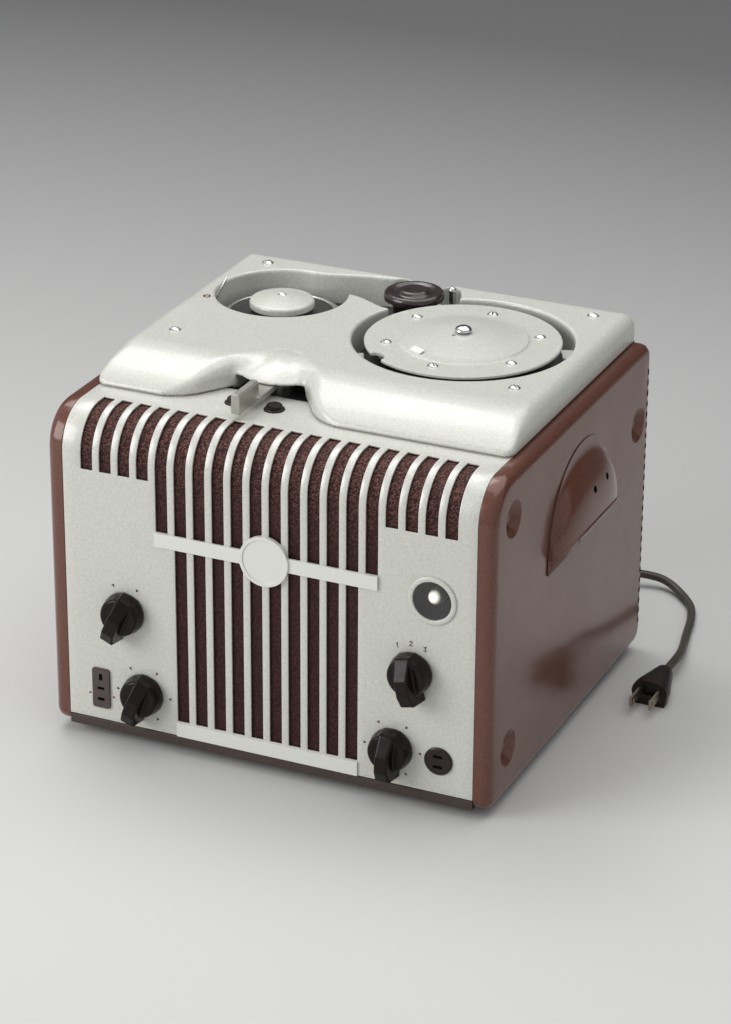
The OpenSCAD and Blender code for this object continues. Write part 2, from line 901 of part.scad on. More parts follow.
// Flanged bush in the deck plate
module bearing(place, barrel_r, flange_r, bore_r, below) {
    at(place, 0)
        difference() {
            union() {
                translate([0, 0, deck_low - below])
                    cylinder(h = below + deck_t + bearing_flange_h, r = barrel_r);
                translate([0, 0, plate_top])
                    cylinder(h = bearing_flange_h, r = flange_r);
            }
            translate([0, 0, deck_low - below - cut])
                cylinder(h = below + deck_t + bearing_flange_h + 2 * cut, r = bore_r + run_gap);
        }
}

module supply_bearing() {
    color("#b08d4f")
        placed()
            bearing(supply_at, supply_bearing_r, supply_bearing_r + 5, supply_shaft_r, 6);
}

module supply_shaft() {
    color("#a9a9a6")
        placed()
            at(supply_at, 0) {
                translate([0, 0, wheel_low])
                    cylinder(h = hub_top - 1 - wheel_low, r = supply_shaft_r);
                translate([0, 0, wheel_low])
                    cylinder(h = wheel_h, r = supply_wheel_r);
            }
}

module supply_turntable() {
    color("#3c3d3e")
        placed()
            at(supply_at, 0)
                rotate_extrude()
                    polygon([
                        [supply_shaft_r + press_gap, seat], [10, seat], [10, supply_table_z],
                        [supply_table_r, supply_table_z],
                        [supply_table_r, supply_table_z + supply_table_h],
                        [hub_d / 2, supply_table_z + supply_table_h], [hub_d / 2, hub_top],
                        [supply_shaft_r + press_gap, hub_top]]);
}

cap_side = 1.3;

module supply_hub_cap() {
    r = hub_d / 2 + cap_side;
    color("#c6c3b4")
        placed()
            at(supply_at, hub_top)
                rotate_extrude()
                    polygon(concat(
                        [[0, 0.1], [hub_d / 2 + 0.1, 0.1], [hub_d / 2 + 0.1, -2], [r - 0.6, -2],
                            [r, -1.4]],
                        corner(r - 2.4, 0.8, 2.4, 0, 60, 4),
                        [for (i = [1:6])
                            let (t = i / 6)
                            [(r - 1.2) * (1 - t), 2.9 + 3 * sin(90 * t)]]));
}

// Deck: take-up side

drum_r = 46;
drum_flange_r = disc_d / 2 - 1.2;
disc_low = cover_top - 2.5;
disc_t = 1.8;
dome_r = 41;
dome_h = 4.6;
disc_screw_r = 47.8;
disc_screw_hole_r = 1.5;
disc_pin_r = 3;
nut_r = 5.4;
nut_h = 4.8;

module takeup_bearing() {
    color("#b08d4f")
        placed()
            bearing(takeup_at, takeup_bearing_r, takeup_bearing_r + 6, takeup_shaft_r, 8);
}

module takeup_shaft() {
    color("#a9a9a6")
        placed()
            at(takeup_at, 0) {
                translate([0, 0, cam_low - 2])
                    cylinder(h = disc_low - cam_low + 2, r = takeup_shaft_r);
                translate([0, 0, disc_low - 1])
                    cylinder(h = disc_t + dome_h + nut_h - 1.6, r = disc_pin_r);
                translate([0, 0, wheel_low])
                    cylinder(h = wheel_h, r = takeup_wheel_r);
            }
}

module disc_screw_holes(low, high) {
    for (a = [30:60:330])
        at(takeup_at + disc_screw_r * [cos(a), sin(a)], low)
            cylinder(h = high - low, r = disc_screw_hole_r + press_gap, $fn = 24);
}

module takeup_drum() {
    color("#7d7c76")
        placed()
            difference() {
                at(takeup_at, 0)
                    rotate_extrude()
                        polygon([
                            [takeup_shaft_r + press_gap, seat], [drum_flange_r, seat],
                            [drum_flange_r, seat + 1.6], [drum_r, seat + 3],
                            [drum_r, disc_low - 2], [drum_flange_r - 2, disc_low - 0.8],
                            [drum_flange_r - 2, disc_low],
                            [takeup_shaft_r + press_gap, disc_low]]);
                disc_screw_holes(disc_low - 4, disc_low + cut);
            }
}

notch_angle = 232;
notch_r = 6.5;

module takeup_disc() {
    r = disc_d / 2;
    color("#c8c7bd")
        placed()
            difference() {
                at(takeup_at, disc_low)
                    rotate_extrude($fn = 96)
                        polygon(concat(
                            [[disc_pin_r + press_gap, 0], [r, 0], [r, disc_t - 0.5],
                                [r - 0.5, disc_t], [dome_r, disc_t], [dome_r - 1, disc_t + 1]],
                            [for (i = [0:8])
                                let (t = 1 - i / 8)
                                [nut_r - 1 + (dome_r - 3 - nut_r) * t,
                                    disc_t + 1.2 + (dome_h - 1.2) * cos(90 * t)]],
                            [[disc_pin_r + press_gap, disc_t + dome_h]]));
                disc_screw_holes(disc_low - cut, cover_top);
                at(takeup_at + (r + 1) * [cos(notch_angle), sin(notch_angle)], disc_low - cut)
                    cylinder(h = disc_t + 2 * cut, r = notch_r);
                at(takeup_at + 7.3 * [cos(240), sin(240)], disc_low + disc_t)
                    cylinder(h = dome_h + cut, r = 1.3, $fn = 24);
            }
}

module takeup_screws() {
    color("#c9c9c6")
        placed()
            for (a = [30:60:330])
                at(takeup_at + disc_screw_r * [cos(a), sin(a)], disc_low + disc_t)
                    rotate_extrude($fn = 24)
                        polygon(concat(
                            [[0, -disc_t - 3], [disc_screw_hole_r, -disc_t - 3],
                                [disc_screw_hole_r, 0], [3.2, 0]],
                            [for (a = [0:22.5:90]) [3.2 * cos(a), 0.4 + 1.3 * sin(a)]]));
}

module takeup_nut() {
    color("#d8d8d8")
        placed()
            at(takeup_at, disc_low + disc_t + dome_h)
                difference() {
                    rotate_extrude()
                        polygon(concat(
                            [[0, 0], [nut_r - 1.4, 0], [nut_r - 1.4, 0.8], [nut_r, 1.6]],
                            [for (a = [15:15:90]) [nut_r * cos(a), 1.6 + (nut_h - 1.6) * sin(a)]]));
                    translate([0, 0, -cut])
                        cylinder(h = nut_h - 1.4, r = disc_pin_r + press_gap);
                }
}

// Deck: head, guide post and lever

head_block_r = 13.5;
head_block_h = 7;
head_low = bearing_top + head_travel + 0.2;
cap_low = head_low + head_block_h;

module head_guide() {
    color("#b08d4f")
        placed()
            bearing(head_at, head_guide_r, head_guide_r + 4, head_stem_r, 12);
}

module head_block() {
    color("#2f2b2b")
        placed()
            at(head_at, 0) {
                translate([0, 0, head_low])
                    cylinder(h = head_block_h, r = head_block_r);
                translate([0, 0, cam_low + cam_h + head_travel + 3])
                    cylinder(h = head_low - cam_low - cam_h - head_travel, r = head_stem_r);
            }
}

module head_cap() {
    r = head_cap_d / 2;
    color("#352629")
        placed()
            at(head_at, cap_low)
                rotate_extrude()
                    polygon(concat(
                        [[0, 0], [r - 3, 0], [r, 1.8], [r, 4.2]],
                        corner(r - 2.2, 4.4, 2.2, 20, 90, 4),
                        [[r - 4, 6.8], [r - 6.6, 6.4], [r - 9.6, 6.8], [r - 10.6, 7.8],
                            [0, 8.1]]));
}

post_at = head_at + [20.5, 14];
post_r = 2.2;

module guide_post() {
    top = cover_top + 0.6;
    color("#c9c9c9")
        placed()
            at(post_at, 0)
                rotate_extrude($fn = 32)
                    polygon(concat(
                        [[0, plate_top], [2 * post_r, plate_top], [2 * post_r, plate_top + 2],
                            [post_r, plate_top + 2], [post_r, top - 1]],
                        [for (a = [-30:20:90]) [1.2 * post_r * cos(a), top + 1.2 * post_r * sin(a)]]));
}

lever_low = ledge_h + 4.2;
arm_t = 3.8;
arm_half = 5.5;
blade_half = 2.9;
blade_len = 26.5;
lever_pin_r = 4;
lever_hub_r = 8;

module control_lever() {
    color("#bdb8a8")
        placed()
            difference() {
                union() {
                    at(lever_at, lever_low)
                        cylinder(h = arm_t, r = lever_hub_r);
                    translate([-lever_x - arm_half, lever_y - lever_reach + blade_len - 5, lever_low])
                        cube([2 * arm_half, lever_reach - blade_len + 5, arm_t]);
                    translate([-lever_x, lever_y - lever_reach + blade_len, lever_low])
                        rotate([90, 0, 0])
                            linear_extrude(height = blade_len)
                                polygon([
                                    [-blade_half, 0], [blade_half, 0], [blade_half, blade_h - 1.2],
                                    [blade_half - 1.2, blade_h], [1.2 - blade_half, blade_h],
                                    [-blade_half, blade_h - 1.2]]);
                }
                at(lever_at, 0)
                    cylinder(h = cover_top, r = lever_pin_r + run_gap);
            }
}

module lever_pivot() {
    color("#a6a6a2")
        placed()
            at(lever_at, 0)
                rotate_extrude()
                    polygon([
                        [0, plate_top], [lever_hub_r, plate_top], [lever_hub_r, lever_low - 0.2],
                        [lever_pin_r, lever_low - 0.2], [lever_pin_r, lever_low + arm_t],
                        [0, lever_low + arm_t]]);
}

bumper_x = 13;
bumper_y = lever_y - 44;
bumper_r = 6.6;
bumper_h = 3.4;

module lever_bumpers() {
    color("#4a332f")
        placed()
            for (x = [-bumper_x, bumper_x])
                translate([-lever_x + x, bumper_y, ledge_h])
                    rotate_extrude($fn = 32)
                        polygon([
                            [0, 0], [bumper_r, 0], [bumper_r - 0.3, 0.7], [bumper_r - 1.6, 1.1],
                            [bumper_r - 1.7, bumper_h - 0.6], [bumper_r - 2.3, bumper_h],
                            [0, bumper_h]]);
}

// Front: knobs and the controls behind them

skirt_h = 9.5;
knob_bar_half = 4.2;
knob_bar_tail = 10;
knob_draft = 1.4;
shaft_back = 14;
shaft_front = 11;
nut_flat_r = 7;
bush_front = 3;

// Bar knob: round skirt, and a bar with drafted sides that ends in a blunt nose
module knob(x, z, turn) {
    top = knob_gap + knob_h;
    nose_top = knob_nose - 4;
    color("#2e2725")
        placed()
            on_front(x, z)
                rotate([0, 0, turn]) {
                    difference() {
                        union() {
                            rotate_extrude()
                                polygon([
                                    [0, knob_gap], [knob_d / 2, knob_gap],
                                    [knob_d / 2, knob_gap + 2.6],
                                    [knob_d / 2 - 1.4, knob_gap + skirt_h - 1.8],
                                    [knob_d / 2 - 3.2, knob_gap + skirt_h], [0, knob_gap + skirt_h]]);
                            hull() {
                                translate([
                                    -knob_bar_tail - knob_draft, -knob_bar_half - knob_draft, knob_gap])
                                    cube([
                                        knob_bar_tail + knob_draft + knob_nose,
                                        2 * (knob_bar_half + knob_draft), 2]);
                                translate([-knob_bar_tail, -knob_bar_half, top - 0.1])
                                    cube([knob_bar_tail + nose_top, 2 * knob_bar_half, 0.1]);
                            }
                        }
                        cylinder(h = bush_front + 1.2, r = nut_flat_r + 1.6);
                        cylinder(h = shaft_front, r = shaft_d / 2 + press_gap);
                    }
                    translate([0, 0, -shaft_back])
                        cylinder(h = shaft_back + shaft_front - 0.2, r = shaft_d / 2);
                }
}

// Switch or potentiometer: bush and nut through the panel, round can behind it
module control(x, z, can_d) {
    can_h = 18;
    color("#8d8b84")
        placed()
            on_front(x, z)
                difference() {
                    union() {
                        translate([0, 0, -sheet_t - can_h])
                            cylinder(h = can_h, d = can_d);
                        translate([0, 0, -sheet_t - 1])
                            cylinder(h = bush_front + sheet_t + 1, d = bush_d);
                        cylinder(h = 2, r = nut_flat_r, $fn = 6);
                    }
                    translate([0, 0, -shaft_back - 1])
                        cylinder(h = shaft_back + bush_front + 2, r = shaft_d / 2 + run_gap);
                }
}

module selector_knob() { knob(-upper_knob_x, upper_knob_z, 247); }
module volume_knob() { knob(-lower_knob_x, lower_knob_z, 250); }
module output_knob() { knob(upper_knob_x, upper_knob_z, 282); }
module tone_knob() { knob(lower_knob_x, lower_knob_z, 268); }
module selector_switch() { control(-upper_knob_x, upper_knob_z, 34); }
module volume_control() { control(-lower_knob_x, lower_knob_z, 26); }
module output_switch() { control(upper_knob_x, upper_knob_z, 34); }
module tone_control() { control(lower_knob_x, lower_knob_z, 26); }

// Front: lamp and sockets

cup_back = 14;
cup_t = 1;
bulb_base_r = 5;

module lamp_bezel() {
    in_r = lens_d / 2;
    color("#c4c3ba")
        placed()
            on_front(lamp_x, lamp_z)
                rotate_extrude()
                    polygon([
                        [bulb_base_r + press_gap, -cup_back], [in_r + cup_t, -cup_back],
                        [in_r + cup_t, 0.01], [bezel_d / 2, 0.01], [bezel_d / 2, 0.4],
                        [bezel_d / 2 - 0.8, 1.1], [in_r + cup_t, 1.3], [in_r, 1],
                        [in_r, cup_t - cup_back], [bulb_base_r + press_gap, cup_t - cup_back]]);
}

module lamp_lens() {
    r = lens_d / 2 - press_gap;
    color([0.8, 0.82, 0.82, 0.4])
        placed()
            on_front(lamp_x, lamp_z)
                rotate_extrude()
                    polygon(concat(
                        [[0, -0.8], [r, -0.8]],
                        [for (i = [0:5]) [r * (1 - i / 5), 0.4 + 1.1 * sin(18 * i)]]));
}

module lamp_bulb() {
    color("#efe7cc")
        placed()
            on_front(lamp_x, lamp_z) {
                translate([0, 0, -7])
                    sphere(r = 5, $fn = 32);
                translate([0, 0, -cup_back - 8])
                    cylinder(h = 14, r = bulb_base_r);
            }
}

socket_back = 8;
socket_slot_deep = 6;

module input_socket() {
    color("#4a3a35")
        placed()
            difference() {
                on_front(-input_x, socket_z) {
                    linear_extrude(height = 1.4)
                        polygon(round_rect(input_w, input_h, 1.6));
                    translate([0, 0, -socket_back])
                        linear_extrude(height = socket_back + 1)
                            polygon(round_rect(input_w - 2 - 2 * seam, input_h - 2 - 2 * seam, 0.6));
                }
                on_front(-input_x, socket_z)
                    for (s = [[0, 7.6, 2.4, 4.4], [0, 0, 4.8, 1.9], [0, -7.4, 4.8, 2.1]])
                        translate([s[0] - s[2] / 2, s[1] - s[3] / 2, 1.4 - socket_slot_deep])
                            cube([s[2], s[3], socket_slot_deep + cut]);
            }
}

module output_socket() {
    color("#4a3a35")
        placed()
            on_front(output_x, socket_z)
                difference() {
                    union() {
                        translate([0, 0, -socket_back])
                            cylinder(h = socket_back + 1, r = output_d / 2 - 1);
                        rotate_extrude()
                            polygon([
                                [0, 0], [output_d / 2, 0], [output_d / 2, 0.9],
                                [output_d / 2 - 0.8, 1.6], [0, 1.6]]);
                    }
                    for (z = [-3.4, 3.4])
                        translate([-3, z - 1, 1.6 - socket_slot_deep])
                            cube([6, 2, socket_slot_deep + cut]);
                }
}

// Inside: loudspeaker, amplifier and motor

speaker_z = 88;
speaker_r = 62;
speaker_deep = 36;
basket_r = 24;
basket_t = 2;
magnet_r = 22;
magnet_h = 24;
speaker_front = sheet_t + cloth_gap + cloth_t + cloth_gap;

module speaker_frame() {
    color("#6f6f6c")
        placed()
            on_front(0, speaker_z)
                translate([0, 0, -speaker_front])
                    rotate_extrude()
                        polygon([
                            [speaker_r, 0], [speaker_r, -basket_t],
                            [speaker_r - 3 * basket_t, -1.7 * basket_t],
                            [basket_r + basket_t, basket_t - speaker_deep],
                            [basket_r + basket_t, -basket_t / 2 - speaker_deep],
                            [magnet_r, -basket_t / 2 - speaker_deep],
                            [magnet_r, -magnet_h - speaker_deep], [0, -magnet_h - speaker_deep],
                            [0, -speaker_deep], [basket_r, -speaker_deep],
                            [basket_r, 1.5 * basket_t - speaker_deep],
                            [speaker_r - 4 * basket_t, -basket_t], [speaker_r - 4 * basket_t, 0]]);
}

cone_deep = 24;
cone_t = 1.6;
dust_cap_r = 12;

module speaker_cone() {
    rim = speaker_r - 4 * basket_t - cloth_gap;
    roll = rim - dust_cap_r / 2;
    color("#3b3733")
        placed()
            on_front(0, speaker_z)
                translate([0, 0, -speaker_front])
                    rotate_extrude()
                        polygon([
                            [rim, -cloth_gap], [roll, -cloth_gap], [dust_cap_r, -cone_deep],
                            [0, -0.8 * cone_deep], [0, -0.8 * cone_deep - cone_t],
                            [dust_cap_r, -cone_deep - cone_t],
                            [roll + cone_t / 2, -cloth_gap - cone_t], [rim, -cloth_gap - cone_t]]);
}

chassis_h = 45;
chassis_half = 105;
chassis_d = 140;
chassis_rear = case_d - 32;
chassis_y = [chassis_rear - chassis_d, chassis_rear];
tube_r = 14;
tube_h = 50;
tube_step = 35;
tube_inset = 20;
tube_x = [for (i = [0:2]) tube_inset - chassis_half + i * tube_step];
tube_places = concat(
    [for (x = tube_x) [x, chassis_y[0] + tube_inset]],
    [for (i = [0:1]) [tube_x[i], chassis_y[1] - tube_inset]]);
core_w = 60;
core_d = 32;
core_h = 50;
core_yoke = 8;
winding_out = 9;

module amplifier_chassis() {
    color("#9b9b96")
        placed()
            translate([-chassis_half, chassis_y[0], pan_top])
                difference() {
                    cube([2 * chassis_half, chassis_y[1] - chassis_y[0], chassis_h]);
                    translate([sheet_t, sheet_t, -cut])
                        cube([2 * (chassis_half - sheet_t), chassis_y[1] - chassis_y[0] - 2 * sheet_t,
                            chassis_h - sheet_t + cut]);
                }
}

module tubes() {
    color("#b9b9b2")
        placed()
            for (p = tube_places)
                at(p, pan_top + chassis_h)
                    rotate_extrude($fn = 32)
                        polygon([
                            [0, 0], [tube_r, 0], [tube_r, 0.24 * tube_h],
                            [0.93 * tube_r, 0.26 * tube_h], [0.93 * tube_r, 0.8 * tube_h],
                            [0.64 * tube_r, 0.96 * tube_h], [0, tube_h]]);
}

module power_transformer() {
    color("#4a4644")
        placed()
            translate([
                chassis_half - core_w / 2 - winding_out,
                chassis_y[1] - core_d / 2 - 2 * winding_out,
                pan_top + chassis_h]) {
                translate([-core_w / 2, -core_d / 2, 0])
                    cube([core_w, core_d, core_h]);
                translate([2 * core_yoke - core_w / 2, -core_d / 2 - winding_out, core_yoke])
                    cube([core_w - 4 * core_yoke, core_d + 2 * winding_out, core_h - 2 * core_yoke]);
            }
}

module motor() {
    color("#5d5d5b")
        placed()
            difference() {
                union() {
                    at(motor_at, motor_low)
                        cylinder(h = motor_high - motor_low, r = motor_r);
                    for (p = motor_studs)
                        at(p, motor_high - 1)
                            cylinder(h = deck_low - motor_high + 1, r = motor_stud_r);
                }
                at(motor_at, motor_high - motor_bore_h)
                    cylinder(h = motor_bore_h + cut, r = idler_pin_r + run_gap);
            }
}

module motor_pulley() {
    color("#a9a9a6")
        placed()
            at(motor_at, 0) {
                translate([0, 0, motor_high - motor_bore_h + 1])
                    cylinder(h = wheel_high - motor_high + motor_bore_h - 1, r = idler_pin_r);
                translate([0, 0, wheel_low])
                    cylinder(h = wheel_h, r = pulley_r);
            }
}

module idler_wheel() {
    color("#2f2d2b")
        placed()
            at(idler_at, wheel_low + 0.5)
                difference() {
                    cylinder(h = wheel_h - 1, r = idler_r);
                    translate([0, 0, -cut])
                        cylinder(h = wheel_h + 2 * cut, r = idler_pin_r + run_gap);
                }
}

module level_cam() {
    color("#8f7a4a")
        placed()
            at(cam_at, cam_low)
                difference() {
                    union() {
                        cylinder(h = cam_h, r = cam_r);
                        translate([cam_throw, 0, 0])
                            cylinder(h = cam_h + 2, r = cam_lobe_r);
                    }
                    translate([0, 0, -cut])
                        cylinder(h = cam_h + 4 * cut, r = cam_pin_r + run_gap);
                }
}

// Cord: gland, lead, wound coil, tail and plug

gland_x = half_w - gland_inset;
gland_end = case_d + 24;
floor_z = -foot_h;
cord_z = floor_z + cord_d / 2;
coil_at = [gland_x - 43, case_d + 93];
coil_r = 43;
coil_pitch = 6;
coil_turns = 6.75;
coil_layer = 6;
coil_steps = 24;

// Falling lead: how far back each point lies, and its share of the gland's height
lead_points = [
    for (p = [[0, 1], [6, 1], [14, 0.963], [22, 0.864], [28.4, 0.712], [33, 0.503],
        [37.6, 0.294], [44, 0.137], [52, 0.038], [58, 0.0065], [63.5, 0]])
        [gland_x, gland_end + p[0], cord_z + (gland_z - cord_z) * p[1]]];

// Tail along the table: places from the gland's corner of the case, heights over the cord's rest
tail_points = [
    for (p = [[-37.5, 50, 6], [-31, 50, 5.95], [-19, 50, 5.85], [-7, 50, 5.75], [6, 52.4, 5.75],
        [17, 59.2, 5.75], [25, 69.5, 5.85], [33, 79.7, 6], [44, 86.5, 6], [57, 89, 5], [66, 88, 3.6],
        [76, 82, 1.8], [86.5, 71.5, 0.4], [93, 61.5, 0], [98.5, 45, 0], [101.5, 30.5, 0],
        [104.4, 17, 0.25], [108, 2, 1.8], [111, -12, 4.4], [112.6, -26, 6.4], [113, -38, 7.2],
        [113, -49, 7.2]])
        [gland_x + p[0], case_d + p[1], cord_z + p[2]]];

function coil_radius(t) = coil_r - coil_pitch * min(t, coil_turns - t);

function coil_height(t) =
    let (s = max(0, min(1, 2 * (t - coil_turns / 2) + 0.5)))
    cord_z + coil_layer * s * s * (3 - 2 * s);

coil_points = concat(
    [[coil_at[0] + coil_r, coil_at[1] - cord_d, cord_z]],
    [for (i = [0:coil_turns * coil_steps])
        let (t = i / coil_steps)
        [coil_at[0] + coil_radius(t) * cos(360 * t), coil_at[1] + coil_radius(t) * sin(360 * t),
            coil_height(t)]],
    [[coil_at[0] + cord_d, coil_at[1] - coil_r, cord_z + coil_layer]]);

coil_gap = min([
    for (i = [0:len(coil_points) - 1], j = [i + coil_steps / 2:1:len(coil_points) - 1])
        norm(coil_points[i] - coil_points[j])]) - cord_d;
echo(least_gap_between_the_turns = coil_gap);

// Direction of a route at one of its points
function heading(pts, i) =
    let (d = pts[min(i + 1, len(pts) - 1)] - pts[max(i - 1, 0)])
    d / norm(d);

function tube_ring(pts, i, r, sides) =
    let (f = heading(pts, i))
    let (side = cross(f, [0, 0, 1]) / norm(cross(f, [0, 0, 1])))
    let (up = cross(side, f))
    [for (k = [0:sides - 1])
        pts[i] + r * (side * cos(360 * k / sides) - up * sin(360 * k / sides))];

module tube(pts, sides) {
    skin([for (i = [0:len(pts) - 1]) tube_ring(pts, i, cord_d / 2, sides)]);
}

module cord_gland() {
    color("#3a3029")
        placed()
            translate([gland_x, 0, gland_z])
                rotate([-90, 0, 0])
                    rotate_extrude()
                        polygon([
                            [0, flange_y - 4], [gland_r, flange_y - 4],
                            [gland_r, rear_panel_y + sheet_t],
                            [gland_r + 3, rear_panel_y + sheet_t],
                            [gland_r + 3, case_d + 1], [gland_r + 1, case_d + 1],
                            [cord_d / 2 + 1, gland_end], [0, gland_end]]);
}

module cord_lead() {
    color("#4b463c")
        placed()
            tube(lead_points, 8);
}

module cord_coil() {
    color("#4b463c")
        placed()
            tube(coil_points, 6);
}

module cord_tail() {
    color("#4b463c")
        placed()
            tube(tail_points, 8);
}

plug_at = [gland_x + 113, case_d - 77];
plug_len = 28;
plug_w = 24;
plug_h = 17;
plug_tail_w = 10;
plug_tail_low = 4;
plug_tail_h = 12;
blade_gap = 12.7;
prong_len = 17;
prong_h = 6.4;
prong_t = 1.5;
prong_z = floor_z + 9;

// Face of the plug: flat foot, round shoulders
function plug_face(w, h) = concat(
    [[-w / 2 + 2, 0], [w / 2 - 2, 0]],
    corner(w / 2 - h / 2, h / 2, h / 2, 0, 90, 5),
    corner(h / 2 - w / 2, h / 2, h / 2, 90, 180, 5));

module plug_body() {
    color("#3a2119")
        placed()
            difference() {
                translate([plug_at[0], plug_at[1], floor_z])
                    hull() {
                        translate([0, 6, 0])
                            rotate([90, 0, 0])
                                linear_extrude(height = 6)
                                    polygon(plug_face(plug_w, plug_h));
                        translate([0, plug_len, plug_tail_low])
                            rotate([90, 0, 0])
                                linear_extrude(height = 1)
                                    polygon(plug_face(plug_tail_w + plug_tail_h - 10, plug_tail_h));
                    }
                translate([plug_at[0] - blade_gap / 2 + 2, plug_at[1] - cut, prong_z - 2])
                    cube([blade_gap - 4, 3 + cut, 6]);
            }
}

module plug_blades() {
    color("#b59a55")
        placed()
            for (x = [-blade_gap / 2, blade_gap / 2])
                difference() {
                    translate([plug_at[0] + x - prong_t / 2, plug_at[1] - prong_len, prong_z - prong_h / 2])
                        cube([prong_t, prong_len, prong_h]);
                    translate([plug_at[0] + x, plug_at[1] - prong_len + 3.5, prong_z])
                        rotate([0, 90, 0])
                            cylinder(h = 4 * prong_t, r = 1.5, center = true, $fn = 24);
                }
}

front_panel();
grille_cloth();
trim_strips();
side_panel_left();
side_panel_right();
hand_grip_left();
hand_grip_right();
case_screws();
base_pan();
rear_panel();
feet();
corner_posts();
deck_plate();
deck_cover();
deck_screws();
supply_turntable();
supply_hub_cap();
supply_shaft();
supply_bearing();
takeup_disc();
takeup_drum();
takeup_screws();
takeup_nut();
takeup_shaft();
takeup_bearing();
head_cap();
head_block();
head_guide();
guide_post();
control_lever();
lever_pivot();
lever_bumpers();
selector_knob();
volume_knob();
output_knob();
tone_knob();
selector_switch();
volume_control();
output_switch();
tone_control();
lamp_bezel();
lamp_lens();
lamp_bulb();
input_socket();
output_socket();
speaker_frame();
speaker_cone();
amplifier_chassis();
tubes();
power_transformer();
motor();
motor_pulley();
idler_wheel();
level_cam();
cord_gland();
cord_lead();
cord_coil();
cord_tail();
plug_body();
plug_blades();
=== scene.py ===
# %% [markdown]
# # A table wire recorder
# The machine is a box of sheet steel with a slotted front and a cast deck. Its solids come
# from a packed frame in metres: +X right, +Y to the rear, +Z up, floor at zero. This lesson
# dresses that frame. First comes the frame, then the camera and the mains cord, then the
# finishes, and then one surface after another.

# %% Load the frame
import json
import math

import bpy
import numpy as np
from mathutils import Matrix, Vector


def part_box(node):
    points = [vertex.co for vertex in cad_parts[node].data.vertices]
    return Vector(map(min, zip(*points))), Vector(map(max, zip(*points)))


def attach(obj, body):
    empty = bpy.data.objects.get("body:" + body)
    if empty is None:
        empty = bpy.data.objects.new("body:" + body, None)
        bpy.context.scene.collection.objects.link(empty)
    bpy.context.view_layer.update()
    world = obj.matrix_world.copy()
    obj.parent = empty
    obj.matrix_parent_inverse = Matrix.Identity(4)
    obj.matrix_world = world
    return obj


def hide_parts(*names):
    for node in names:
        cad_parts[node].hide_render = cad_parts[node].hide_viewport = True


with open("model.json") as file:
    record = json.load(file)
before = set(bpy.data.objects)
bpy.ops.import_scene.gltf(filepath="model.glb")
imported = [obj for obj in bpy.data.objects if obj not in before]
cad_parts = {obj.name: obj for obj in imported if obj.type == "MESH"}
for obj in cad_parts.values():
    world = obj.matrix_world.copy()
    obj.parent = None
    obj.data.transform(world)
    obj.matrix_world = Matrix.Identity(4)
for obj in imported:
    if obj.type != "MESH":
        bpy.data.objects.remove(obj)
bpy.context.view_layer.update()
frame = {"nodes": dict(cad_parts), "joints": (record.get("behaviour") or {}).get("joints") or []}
nodes = frame["nodes"]
scene = bpy.context.scene

# %% [markdown]
# Measurements are easier to follow in millimetres from the front panel's face and from the
# side panels' lower edge, as one would measure the real machine. The frame knows where those
# are, so the case's sizes are read off its solids and the axes off its joints. One helper takes
# the machine's millimetres to the frame, and another brings a point of the frame back.

# %% From the machine's own measures to the frame


def mm(length):
    """A length of the frame in millimetres, to a hundredth."""
    return round(float(length) * 1000, 2)


panel_low, panel_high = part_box("front_panel")
side_low, side_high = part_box("side_panel_right")
deck_low, deck_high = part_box("deck_cover")
PANEL_Y = mm(panel_low.y)
FOOT_H = mm(side_low.z)
HALF_W = mm(side_high.x)
CASE_D = mm(side_high.y - panel_low.y)
LEDGE = mm(panel_high.z - side_low.z)
COVER_TOP = mm(deck_high.z - side_low.z)


def at_mm(points):
    """Points in the machine's millimetres become metres in the frame."""
    return (np.asarray(points, float) + (0.0, PANEL_Y, FOOT_H)) / 1000


def on_machine(point):
    """A point of the frame in the machine's millimetres, to a hundredth."""
    return np.round(np.asarray(point, float) * 1000 - (0.0, PANEL_Y, FOOT_H), 2)


axes = {joint["name"]: on_machine(joint["pos_m"]) for joint in frame["joints"]}
print("case:", 2 * HALF_W, "x", CASE_D, "mm, ledge at", LEDGE, "and deck at", COVER_TOP)

# %% [markdown]
# The camera stands to the right and above, with a long lens, so edges stay nearly parallel.
# Its place and turn were solved from the case's own edges. A camera looks along its own -Z,
# so the matrix holds right, up and backwards as its columns.

# %% Camera
CAMERA_TURN = (24.095, 24.311, 0.364)
CAMERA_PLACE = (791.3, -1624.8, 985.4)
LENS, SENSOR = 118.81, 36.0

azimuth, elevation, roll = (math.radians(v) for v in CAMERA_TURN)
back = np.array([math.sin(azimuth) * math.cos(elevation),
                 -math.cos(azimuth) * math.cos(elevation), math.sin(elevation)])
right = np.array([math.cos(azimuth), math.sin(azimuth), 0.0])
up = np.cross(back, right)
right, up = (math.cos(roll) * right + math.sin(roll) * up,
             math.cos(roll) * up - math.sin(roll) * right)

camera = bpy.data.objects.new("camera", bpy.data.cameras.new("camera"))
camera.data.lens, camera.data.sensor_width = LENS, SENSOR
pose = np.eye(4)
pose[:3, :3] = np.stack([right, up, back], axis=1)
pose[:3, 3] = at_mm(CAMERA_PLACE)
camera.matrix_world = Matrix(pose.tolist())
scene.collection.objects.link(camera)
scene.camera = camera
print("camera at", np.round(pose[:3, 3], 3), "m")

# %% [markdown]
# Every new surface here is a grid: a function of two parameters worked out as whole arrays.
# One helper joins a grid's points with quads. A grid may close on itself round one direction,
# as a tube does, and a tube's open ends are capped. Another turns the arrays into a mesh, and a
# third makes that mesh a piece, which rides on a body of the frame.

# %% Grids into meshes


